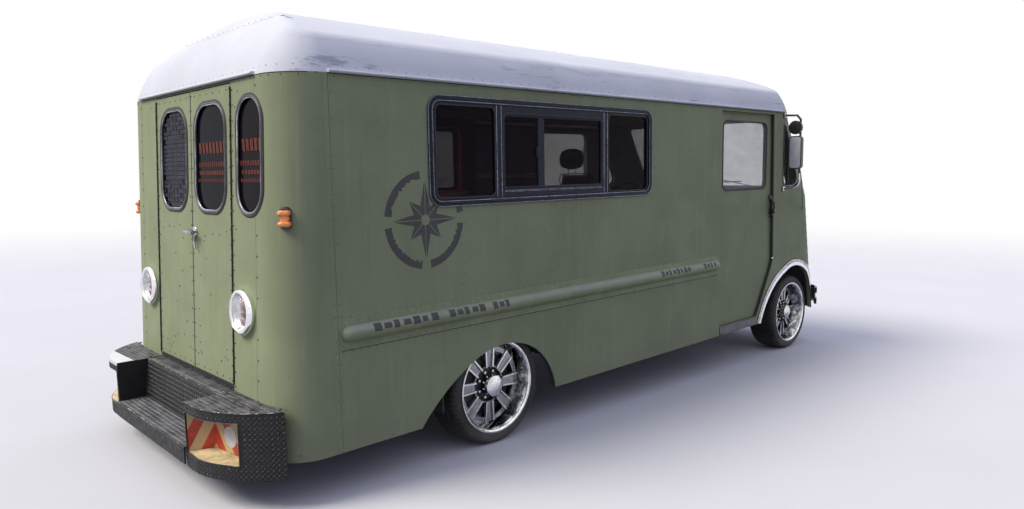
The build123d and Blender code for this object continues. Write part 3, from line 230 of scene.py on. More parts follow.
class Mesh:
    """Collects the faces of one piece, in millimetres of the body frame or the road frame."""

    def __init__(self) -> None:
        """Starts an empty mesh."""
        self.points: list[Vector] = []
        self.faces: list[tuple[int, ...]] = []

    def add(self, points: Iterable[Sequence[float]], faces: Iterable[Sequence[int]]) -> None:
        """Adds points and the faces between them.

        Args:
            points: New corner points.
            faces: Faces as indices into the new points.
        """
        base = len(self.points)
        self.points.extend(Vector(p) for p in points)
        self.faces.extend(tuple(base + i for i in face) for face in faces)

    def loft(self, rings: Sequence[Path], closed: bool = True, caps: bool = False,
             loop: bool = False) -> None:
        """Joins rings of equal length by quads.

        Args:
            rings: The rings, each a list of points.
            closed: Whether each ring closes on itself.
            caps: Whether the first and last rings are filled.
            loop: Whether the last ring joins the first.
        """
        n, rows = len(rings[0]), len(rings)
        faces = []
        for r in range(rows if loop else rows - 1):
            a, b = r * n, (r + 1) % rows * n
            for i in range(n if closed else n - 1):
                j = (i + 1) % n
                faces.append((a + i, a + j, b + j, b + i))
        if caps:
            faces.append(tuple(reversed(range(n))))
            faces.append(tuple((rows - 1) * n + i for i in range(n)))
        self.add([p for ring in rings for p in ring], faces)

    def box(self, x0: float, x1: float, y0: float, y1: float, z0: float, z1: float,
            ease: float = 0.0) -> None:
        """Adds a block between pairs of x, y (in either order) and z, its edges eased.

        Args:
            x0, x1: From and to along the van.
            y0, y1: From and to across it, in either order.
            z0, z1: From and to upward.
            ease: Width of the eased edges, in millimetres.
        """
        y0, y1 = sorted((y0, y1))
        e = min(ease, (x1 - x0) / 3, (y1 - y0) / 3, (z1 - z0) / 3)
        if e <= 0:
            ring = [(x0, y0), (x1, y0), (x1, y1), (x0, y1)]
            self.loft([[(x, y, z) for x, y in ring] for z in (z0, z1)], caps=True)
            return
        rings = []
        for z, i in ((z0, e), (z0 + e, 0.0), (z1 - e, 0.0), (z1, e)):
            a, b, c, d = x0 + i, x1 - i, y0 + i, y1 - i
            rings.append([(a + e, c, z), (b - e, c, z), (b, c + e, z), (b, d - e, z),
                          (b - e, d, z), (a + e, d, z), (a, d - e, z), (a, c + e, z)])
        self.loft(rings, caps=True)

    def disc(self, centre: Sequence[float], out: Vector,
             profile: Sequence[Flat], sides: int = 24) -> None:
        """Turns a profile about an axis.

        Args:
            centre: Where height zero is.
            out: Direction of the axis.
            profile: Radius and height pairs. A radius of zero closes the end.
            sides: Number of sides round the axis.
        """
        axis = out.normalized()
        side = axis.orthogonal().normalized()
        other = axis.cross(side)
        rows: list[list[int]] = []
        for radius, height in profile:
            spot = Vector(centre) + axis * height
            first = len(self.points)
            self.points += [spot + side * a + other * b for a, b in circle(radius, sides)] \
                if radius > 0 else [spot]
            rows.append(list(range(first, len(self.points))))
        for low, high in zip(rows, rows[1:]):
            for i in range(sides):
                j = (i + 1) % sides
                if len(low) == 1:
                    self.faces.append((low[0], high[j], high[i]))
                elif len(high) == 1:
                    self.faces.append((low[i], low[j], high[0]))
                else:
                    self.faces.append((low[i], low[j], high[j], high[i]))

    def rivet(self, spot: Sequence[float], out: Vector, radius: float, height: float) -> None:
        """Adds one low domed rivet head."""
        foot = Vector(spot) - out * 0.6
        self.disc(foot, out, ((radius, 0), (radius * 0.92, 0.6 + height * 0.45),
                              (radius * 0.5, 0.6 + height * 0.9), (0, 0.6 + height)), 8)

    def tube(self, path: Path, radius: float, sides: int = 10, closed: bool = False,
             flat: float = 1.0, up: Optional[Vector] = None) -> None:
        """Runs a round or flattened section along a path.

        Args:
            path: Points of the path.
            radius: Radius of the section.
            sides: Sides of the section.
            closed: Whether the path closes on itself.
            flat: Height of the section over its width.
            up: Direction that the section's height points in, if it is flattened.
        """
        points = [Vector(p) for p in path]
        rings = []
        side = Vector()
        for spot, along in zip(points, headings(points, closed)):
            if up is not None:
                side = along.cross(up).normalized()
            elif not rings:
                side = along.orthogonal().normalized()
            else:
                side = (side - along * along.dot(side)).normalized()
            rise = side.cross(along).normalized() * flat
            rings.append([spot + side * a + rise * b for a, b in circle(radius, sides)])
        self.loft(rings, caps=not closed, loop=closed)

    def strip(self, path: Path, outs: Union[Vector, Sequence[Vector]], width: float,
              height: float, closed: bool = False) -> None:
        """Runs a flat bar with eased top edges along a path on a surface.

        Args:
            path: Points of the path, on the surface.
            outs: Outward direction, or one for each point.
            width: Width of the bar.
            height: How far the bar stands out.
            closed: Whether the path closes on itself.
        """
        points = [Vector(p) for p in path]
        if isinstance(outs, Vector):
            outs = [outs] * len(points)
        ease = min(height, width / 2) * 0.5
        half = width / 2
        section = ((-half, -0.6), (-half, height - ease), (-half + ease, height),
                   (half - ease, height), (half, height - ease), (half, -0.6))
        rings = []
        for spot, out, along in zip(points, outs, headings(points, closed)):
            across = along.cross(out).normalized()
            rings.append([spot + across * a + out * b for a, b in section])
        self.loft(rings, caps=not closed, loop=closed)

    def plate(self, outline: Path, out: Vector, thick: float) -> None:
        """Adds a thin plate from an outline out by its thickness."""
        low = [Vector(p) for p in outline]
        self.loft([low, [p + out * thick for p in low]], caps=True)

    def mirrored(self) -> "Mesh":
        """Gives the mesh's mirror image across the centre line."""
        twin = Mesh()
        twin.points = [Vector((p.x, -p.y, p.z)) for p in self.points]
        twin.faces = [tuple(reversed(f)) for f in self.faces]
        return twin

    def join(self, other: "Mesh") -> None:
        """Adds another mesh's faces to this one."""
        self.add(other.points, other.faces)

    def build(self, name: str, body: str, material: Material, slot: str,
              stand: Stand = Stand.BODY, smooth: float = 40.0) -> Thing:
        """Makes the object, in place and riding on its body.

        Args:
            name: Name of the piece.
            body: CAD body that it rides on.
            material: Its finish.
            slot: Material slot in the record; not used.
            stand: Frame that the points are written in.
            smooth: Edges flatter than this many degrees are smooth.

        Returns:
            The new object.
        """
        data = bpy.data.meshes.new(name)
        matrix = stand_matrix(stand)
        data.from_pydata([matrix @ p for p in self.points], [], self.faces)
        shape = bmesh.new()
        shape.from_mesh(data)
        bmesh.ops.recalc_face_normals(shape, faces=shape.faces)
        shape.to_mesh(data)
        shape.free()
        piece = link(bpy.data.objects.new(name, data))
        data.materials.append(material)
        data.shade_smooth()
        data.set_sharp_from_angle(angle=math.radians(smooth))
        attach(piece, body)
        LOG.info("%s on %s: %d faces", name, body, len(data.polygons))
        return piece


def link(thing: Thing) -> Thing:
    """Puts an object in the scene and gives it back."""
    bpy.context.scene.collection.objects.link(thing)
    return thing



# Finishes

class Graph:
    """Builds the nodes of one material. Coordinates are the row frame's, in metres."""

    def __init__(self, name: str) -> None:
        """Makes an empty material with its main shader."""
        self.material = bpy.data.materials.new(name + "_finish")
        self.material.use_nodes = True
        self.tree = self.material.node_tree
        self.shader = self.tree.nodes["Principled BSDF"]
        self.place = self.tree.nodes.new("ShaderNodeTexCoord").outputs["Object"]

    def node(self, kind: str, *sources: object, **settings: object) -> bpy.types.Node:
        """Adds a node, sets its options and feeds its inputs in order.

        Args:
            kind: Blender's type of node.
            sources: Values or sockets for the inputs, None to leave one alone.
            settings: Options of the node.

        Returns:
            The node.
        """
        made = self.tree.nodes.new(kind)
        for key, value in settings.items():
            setattr(made, key, value)
        for target, source in zip(made.inputs, sources):
            self.feed(target, source)
        return made

    def feed(self, target: Socket, source: object) -> None:
        """Links a socket to an input, or sets the input's own value."""
        if isinstance(source, Socket):
            self.tree.links.new(source, target)
        elif source is not None:
            wide = target.type == "RGBA" and len(source) == 3
            target.default_value = (*source, 1.0) if wide else source

    def math(self, operation: str, *values: object) -> Socket:
        """Works out one sum of its values, taken in turn."""
        total = values[0]
        for value in values[1:] or (None,):
            total = self.node("ShaderNodeMath", total, value, operation=operation).outputs[0]
        return total

    def times(self, *values: object) -> Socket:
        """Multiplies values."""
        return self.math("MULTIPLY", *values)

    def stretched(self, scale: Sequence[float]) -> Socket:
        """Gives the coordinates scaled along each axis."""
        made = self.node("ShaderNodeMapping")
        self.feed(made.inputs["Vector"], self.place)
        self.feed(made.inputs["Scale"], tuple(scale))
        return made.outputs[0]

    def body_place(self) -> Socket:
        """Gives the coordinates of the level body frame, in metres."""
        made = self.node("ShaderNodeMapping")
        mid = MID_X * MM
        self.feed(made.inputs["Vector"], self.place)
        self.feed(made.inputs["Rotation"], (0.0, PITCH, 0.0))
        self.feed(made.inputs["Location"], (mid * math.cos(PITCH), 0.0, -mid * math.sin(PITCH)))
        return made.outputs[0]

    def parts(self, place: Socket) -> bpy.types.bpy_prop_collection:
        """Splits coordinates in x, y and z."""
        return self.node("ShaderNodeSeparateXYZ", place).outputs

    def noise(self, scale: float, detail: float = 4.0, rough: float = 0.6,
              stretch: Sequence[float] = (1.0, 1.0, 1.0), warp: float = 0.0) -> Socket:
        """Gives a cloudy value around one half.

        Args:
            scale: Clouds in a metre, about.
            detail: How many finer layers there are.
            rough: How strong the finer layers are.
            stretch: Scale along each axis.
            warp: How much the clouds are twisted.

        Returns:
            The value's socket.
        """
        made = self.node("ShaderNodeTexNoise")
        self.feed(made.inputs["Vector"], self.stretched(stretch))
        for key, value in (("Scale", scale), ("Detail", detail), ("Roughness", rough),
                           ("Distortion", warp)):
            self.feed(made.inputs[key], value)
        return made.outputs["Fac"]

    def cells(self, scale: float, feature: str = "F1") -> Socket:
        """Gives the distance to the nearest of scattered points."""
        made = self.node("ShaderNodeTexVoronoi", feature=feature)
        self.feed(made.inputs["Vector"], self.place)
        self.feed(made.inputs["Scale"], scale)
        return made.outputs["Distance"]

    def fit(self, value: object, low: float, high: float, a: float = 0.0,
            b: float = 1.0) -> Socket:
        """Maps a value from one range to another, softly and without leaving it."""
        made = self.node("ShaderNodeMapRange", value, low, high, a, b,
                         interpolation_type="SMOOTHSTEP")
        return made.outputs[0]

    def mix(self, share: object, a: object, b: object) -> Socket:
        """Mixes two colours by a share."""
        made = self.node("ShaderNodeMix", data_type="RGBA")
        self.feed(made.inputs["Factor"], share)
        self.feed(made.inputs[6], a)
        self.feed(made.inputs[7], b)
        return made.outputs[2]

    def bump(self, height: object, distance: float,
             over: Optional[Socket] = None) -> Socket:
        """Tilts the surface by a height, given how far its full range stands out, in metres.

        Args:
            height: The height as a number in the graph.
            distance: Its full range, in metres.
            over: A normal to tilt further, if any.

        Returns:
            The tilted normal.
        """
        made = self.node("ShaderNodeBump")
        self.feed(made.inputs["Height"], height)
        self.feed(made.inputs["Distance"], distance)
        if over is not None:
            self.feed(made.inputs["Normal"], over)
        return made.outputs[0]

    def set(self, **values: object) -> None:
        """Feeds the main shader's inputs, with _ for a space in a name."""
        for key, value in values.items():
            self.feed(self.shader.inputs[key.replace("_", " ")], value)


def shade(colour: Colour, by: float) -> Colour:
    """Gives a colour made lighter or darker."""
    return (colour[0] * by, colour[1] * by, colour[2] * by)


@dataclass(frozen=True)
class Wear:
    """Spots where something else shows through a finish."""

    share: float
    colour: Colour
    scale: float = 30.0


@dataclass(frozen=True)
class Finish:
    """A finish with soft blotches, a fine grain, and optional dust and wear."""

    name: str
    colour: Colour
    rough: float
    cloud: float
    cloud_scale: float
    metal: float = 0.0
    coat: float = 0.0
    specular: float = 0.5
    spread: float = 0.08
    grain_scale: float = 350.0
    grain: float = 0.00015
    dust: float = 0.0
    dust_colour: Colour = (0.30, 0.27, 0.22)
    dust_top: float = 0.55
    wear: Optional[Wear] = None

    def tint(self, g: Graph, colour: Socket) -> Socket:
        """Adds what only this kind of finish has to the colour."""
        return colour

    def relief(self, g: Graph) -> Socket:
        """Gives the surface's fine relief."""
        return g.bump(g.noise(self.grain_scale, 3.0), self.grain)

    def make(self) -> Material:
        """Builds the material."""
        g = Graph(self.name)
        clouds = g.noise(self.cloud_scale, 6.0, 0.62, warp=0.3)
        colour = g.mix(g.fit(clouds, 0.3, 0.7), shade(self.colour, 1 + self.cloud * 0.5),
                       shade(self.colour, 1 - self.cloud))
        colour = self.tint(g, colour)
        if self.wear:
            spots = g.noise(self.wear.scale, 9.0, 0.72)
            mask = g.fit(spots, 0.74 - self.wear.share, 0.78 - self.wear.share)
            colour = g.mix(mask, colour, self.wear.colour)
        if self.dust:
            height = g.parts(g.place)[2]
            low = g.fit(height, self.dust_top, 0.05)
            film = g.times(low, g.fit(g.noise(9.0, 8.0, 0.7), 0.25, 0.75, 0.25, 1.0))
            colour = g.mix(g.times(film, self.dust), colour, self.dust_colour)
        g.set(Base_Color=colour, Metallic=self.metal, Coat_Weight=self.coat,
              Specular_IOR_Level=self.specular,
              Roughness=g.fit(g.noise(self.cloud_scale * 4, 5.0), 0.25, 0.75,
                              max(self.rough - self.spread, 0.02), self.rough + self.spread),
              Normal=self.relief(g))
        return g.material


@dataclass(frozen=True)
class WallPaint(Finish):
    """Brushed-on paint on riveted sheet: streaks, small chips, rubbed bands and faint dents."""

    lining: Optional[Colour] = None
    speckle: Colour = (0.03, 0.035, 0.022)

    def tint(self, g: Graph, colour: Socket) -> Socket:
        """Adds rain streaks, scattered chips and the inside lining."""
        streak = g.noise(4.0, 6.0, 0.65, stretch=(7.0, 7.0, 0.35))
        colour = g.mix(g.fit(streak, 0.52, 0.78, 0.0, 0.5), colour, shade(self.colour, 1.25))
        colour = g.mix(g.fit(streak, 0.44, 0.2, 0.0, 0.45), colour, shade(self.colour, 0.7))
        chips = g.times(g.fit(g.cells(38.0), 0.085, 0.06),
                       g.fit(g.noise(2.3, 3.0), 0.5, 0.62))
        colour = g.mix(chips, colour, self.speckle)
        scuffs = g.fit(g.noise(26.0, 10.0, 0.75, stretch=(0.5, 0.5, 2.2)), 0.66, 0.72, 0.0, 0.35)
        colour = g.mix(scuffs, colour, shade(self.colour, 1.6))
        if self.lining is None:
            return colour
        x, y, z = g.parts(g.body_place())
        inset = (HALF_W - CORNER_R) * MM
        radius = CORNER_R * MM
        level = g.math("SUBTRACT", x, g.times(z, RAKE))
        a = g.math("MAXIMUM", g.math("SUBTRACT", g.math("ABSOLUTE", y), inset), 0.0)
        b = g.math("MAXIMUM", g.math("SUBTRACT", radius, level), 0.0)
        reach = g.math("SQRT", g.math("ADD", g.times(a, a), g.times(b, b)))
        inside = g.fit(reach, radius - 0.010, radius - 0.012)
        felt = g.mix(g.fit(g.noise(140.0, 6.0, 0.8), 0.45, 0.62), shade(self.lining, 0.5),
                     shade(self.lining, 2.6))
        return g.mix(inside, colour, felt)

    def relief(self, g: Graph) -> Socket:
        """Gives dents between the ribs and the paint's fine texture."""
        dents = g.bump(g.noise(1.9, 2.0, 0.4), 0.006)
        return g.bump(g.noise(self.grain_scale, 3.0), self.grain, dents)


@dataclass(frozen=True)
class MouldingPaint(WallPaint):
    """The wall's paint, with a pale painted highlight on the upper half of the half-round moulding.
    """

    painted_highlight: Colour = (0.41, 0.44, 0.39)

    def tint(self, g: Graph, colour: Socket) -> Socket:
        """Adds the painted highlight above the moulding's middle."""
        colour = super().tint(g, colour)
        x, y, z = g.parts(g.body_place())
        tube = g.fit(g.math("ABSOLUTE", y), (HALF_W + 6) * MM, (HALF_W + 14) * MM)
        # Painted highlight: pale on the upper half of the tube, in patches.
        top = g.fit(z, 0.842, 0.872)
        patchy = g.fit(g.noise(3.0, 6.0, 0.65), 0.25, 0.7, 0.25, 0.6)
        return g.mix(g.times(g.times(tube, top), patchy), colour, self.painted_highlight)


@dataclass(frozen=True)
class RoofPaint(Finish):
    """Chalky white paint with grey rub marks above the gutters, and painted shade under its foot.
    """

    stain_and_shade: Colour = (0.30, 0.34, 0.42)

    def tint(self, g: Graph, colour: Socket) -> Socket:
        """Adds the stains along the sides, grey clouds all over, and painted shade under the roof's
        foot.
        """
        x, y, z = g.parts(g.body_place())
        low = g.fit(z, 2.42, 2.18)
        side = g.fit(g.math("ABSOLUTE", y), 0.85, 1.05)
        rub = g.fit(g.noise(5.0, 9.0, 0.72, stretch=(0.35, 1.0, 2.4), warp=0.5), 0.55, 0.63)
        mask = g.times(g.times(low, side), rub)
        colour = g.mix(g.times(mask, 0.75), colour, self.stain_and_shade)
        film = g.fit(g.noise(2.0, 6.0, 0.6, stretch=(0.6, 1.0, 1.0)), 0.4, 0.75, 0.0, 0.35)
        colour = g.mix(film, colour, shade(self.colour, 0.82))
        # Painted shade: dark bluish grey below the roof's foot, under its edge.
        under = g.fit(z, 2.166, 2.15)
        return g.mix(under, colour, shade(self.stain_and_shade, 0.25))

    def relief(self, g: Graph) -> Socket:
        """Gives shallow waves in the sheet and the paint's texture."""
        return g.bump(g.noise(self.grain_scale, 4.0), self.grain, g.bump(g.noise(2.2, 2.0), 0.004))


@dataclass(frozen=True)
class TreadPaint(Finish):
    """Black paint on chequered plate, trodden through to bare metal on its high spots."""

    bare: float = 0.5

    def relief(self, g: Graph) -> Socket:
        """Gives a fine criss-cross of pressed points under the grain."""
        x, y, z = g.parts(g.body_place())
        waves = [g.math("SINE", g.times(g.math(way, y, z), 330.0))
                 for way in ("ADD", "SUBTRACT")]
        return g.bump(g.noise(self.grain_scale, 3.0), self.grain,
                      g.bump(g.times(*waves), 0.0007))

    def tint(self, g: Graph, colour: Socket) -> Socket:
        """Adds the trodden grey, fine speckles and pale chips."""
        up = g.fit(g.parts(g.node("ShaderNodeNewGeometry").outputs["Normal"])[2], 0.6, 0.95)
        trodden = g.fit(g.noise(14.0, 9.0, 0.75, stretch=(1.0, 0.45, 1.0)), 0.36, 0.62)
        grey = g.times(g.times(trodden, up), self.bare)
        colour = g.mix(grey, colour, (0.30, 0.29, 0.29))
        speck = g.fit(g.noise(210.0, 6.0, 0.8), 0.60, 0.68, 0.0, 0.45)
        colour = g.mix(speck, colour, (0.24, 0.24, 0.25))
        chips = g.times(g.fit(g.noise(42.0, 7.0, 0.7), 0.655, 0.67),
                       g.fit(g.noise(5.0, 4.0), 0.50, 0.56))
        return g.mix(chips, colour, (0.72, 0.72, 0.70))


@dataclass(frozen=True)
class WheelChrome(Finish):
    """Chrome under a film of brake dust, with painted shade in the barrel and in the troughs of the
    spokes.
    """

    dust_and_shade: Colour = (0.045, 0.047, 0.054)
    outer: float = 1.088
    dish: Flat = (0.236, 0.243)

    def tint(self, g: Graph, colour: Socket) -> Socket:
        """Adds dust and painted shade in the barrel and the troughs of the spokes, and dust in fine
        runs.
        """
        x, y, z = g.parts(g.place)
        spans = [g.math("ABSOLUTE", g.math("SUBTRACT", x, (axle - MID_X) * MM))
                 for axle in (REAR_AXLE_X, FRONT_AXLE_X)]
        along = g.math("MINIMUM", *spans)
        up = g.math("SUBTRACT", z, TYRE_R * MM)
        reach = g.math("SQRT", g.math("ADD", g.times(along, along),
                                      g.times(up, up)))
        depth = g.math("SUBTRACT", self.outer, g.math("ABSOLUTE", y))
        # Painted shade and brake dust in the wheel's barrel, dark in patches.
        barrel_dust_and_shade = g.times(g.fit(reach, *self.dish), g.fit(depth, 0.008, 0.016))
        cloud = g.fit(g.noise(9.0, 5.0, 0.65, warp=2.0), 0.40, 0.60, 0.35, 0.95)
        colour = g.mix(g.times(barrel_dust_and_shade, cloud), colour, self.dust_and_shade)
        # Painted shade and dust in the troughs between the spokes' raised rails.
        trough_dust_and_shade = g.times(g.fit(reach, self.dish[1], self.dish[0]),
                        g.fit(depth, 0.0745, 0.080, 0.0, 0.68))
        colour = g.mix(trough_dust_and_shade, colour, shade(self.dust_and_shade, 2.4))
        fine = g.fit(g.noise(38.0, 6.0, 0.7, warp=1.0), 0.55, 0.68, 0.0, 0.5)
        return g.mix(fine, colour, shade(self.dust_and_shade, 2.0))

    def relief(self, g: Graph) -> Socket:
        """Gives the slow waves of plated metal."""
        return g.bump(g.noise(14.0, 2.0), 0.0012)


@dataclass(frozen=True)
class Timber(Finish):
    """Oiled wood with long grain."""

    dark: Colour = (0.16, 0.08, 0.035)

    def tint(self, g: Graph, colour: Socket) -> Socket:
        """Adds the grain along the van."""
        rings = g.noise(9.0, 8.0, 0.6, stretch=(0.25, 4.0, 4.0), warp=1.4)
        colour = g.mix(g.fit(rings, 0.35, 0.65), colour, self.dark)
        pores = g.noise(90.0, 4.0, 0.7, stretch=(0.12, 4.0, 4.0))
        return g.mix(g.fit(pores, 0.56, 0.72, 0.0, 0.5), colour, shade(self.dark, 0.5))


@dataclass(frozen=True)
class Hide(Finish):
    """Grained seat vinyl."""

    def relief(self, g: Graph) -> Socket:
        """Gives the pebbled grain over soft creases."""
        creases = g.bump(g.noise(16.0, 5.0, 0.6), 0.0012)
        return g.bump(g.cells(420.0), 0.00045, creases)


@dataclass(frozen=True)
class Brushed(Finish):
    """Metal with fine lines along the van."""

    def relief(self, g: Graph) -> Socket:
        """Gives the brush lines."""
        return g.bump(g.noise(500.0, 3.0, stretch=(0.02, 1.0, 1.0)), self.grain)


@dataclass(frozen=True)
class Stripes(Finish):
    """Slanting bands of two colours, scuffed."""

    second: Colour = (0.68, 0.50, 0.26)
    pitch: float = 0.22
    start: float = 1.84
    lean_x: float = -2.6
    lean_y: float = 1.71

    def tint(self, g: Graph, colour: Socket) -> Socket:
        """Adds the second colour's bands and dark scratches."""
        x, y, z = g.parts(g.body_place())
        across = g.times(g.math("ABSOLUTE", y), self.lean_y)
        run = g.math("ADD", g.math("ADD", g.times(x, self.lean_x), across), z)
        wave = g.math("FRACT", g.math("DIVIDE", g.math("SUBTRACT", run, self.start), self.pitch))
        band = g.math("GREATER_THAN", wave, 0.5)
        colour = g.mix(band, colour, self.second)
        marks = g.fit(g.noise(40.0, 9.0, 0.75, stretch=(1.0, 0.4, 2.0)), 0.62, 0.68, 0.0, 0.7)
        return g.mix(marks, colour, (0.20, 0.10, 0.07))


@dataclass(frozen=True)
class Pane:
    """Sheet glass, seen through as far as its film lets light pass."""

    name: str
    colour: Colour
    film: float
    rough: float = 0.03
    ior: float = 1.5
    clear_from: Optional[float] = None

    def make(self) -> Material:
        """Builds the glass, with dust and wiped smears on it."""
        g = Graph(self.name)
        smear = g.fit(g.noise(3.0, 8.0, 0.65, stretch=(1.0, 1.0, 1.7), warp=0.8), 0.35, 0.8)
        g.set(Base_Color=g.mix(smear, self.colour, shade(self.colour, 1.5)),
              Roughness=g.fit(g.noise(18.0, 6.0), 0.3, 0.8, self.rough, self.rough + 0.07),
              IOR=self.ior, Alpha=self.cover(g, smear),
              Normal=g.bump(g.noise(2.5, 2.0), 0.0006))
        g.material.surface_render_method = "BLENDED"
        return g.material

    def cover(self, g: Graph, smear: Socket) -> Socket:
        """Gives how much the film hides, less in the cab where there is one."""
        film = g.fit(smear, 0.0, 1.0, self.film, min(self.film + 0.07, 1.0))
        if self.clear_from is None:
            return film
        x = g.parts(g.body_place())[0]
        return g.times(film, g.fit(x, self.clear_from, self.clear_from + 0.01, 1.0, 0.25))


@dataclass(frozen=True)
class Lens:
    """Moulded clear or coloured plastic over a lamp, with pressed ribs, and on some a faint painted
    glow.
    """

    name: str
    colour: Colour
    film: float
    ribs: float = 0.0
    glow: float = 0.0

    def make(self) -> Material:
        """Builds the lens."""
        g = Graph(self.name)
        tone = g.mix(g.fit(g.noise(30.0, 4.0), 0.35, 0.7), self.colour, shade(self.colour, 0.8))
        height = g.noise(60.0, 2.0)
        if self.ribs:
            z = g.parts(g.place)[2]
            height = g.math("ABSOLUTE", g.math("SINE", g.times(z, self.ribs)))
        g.set(Base_Color=tone, Alpha=self.film, Coat_Weight=1.0, Coat_Roughness=0.04,
              Roughness=g.fit(g.noise(45.0, 4.0), 0.3, 0.7, 0.08, 0.18),
              Normal=g.bump(height, 0.0010))
        # Painted glow: the lens shines faintly in its own colour, as if lit through.
        if self.glow:
            g.set(Emission_Color=tone, Emission_Strength=self.glow)
        if self.film < 1:
            g.material.surface_render_method = "BLENDED"
        return g.material


OLIVE = (0.302, 0.343, 0.200)

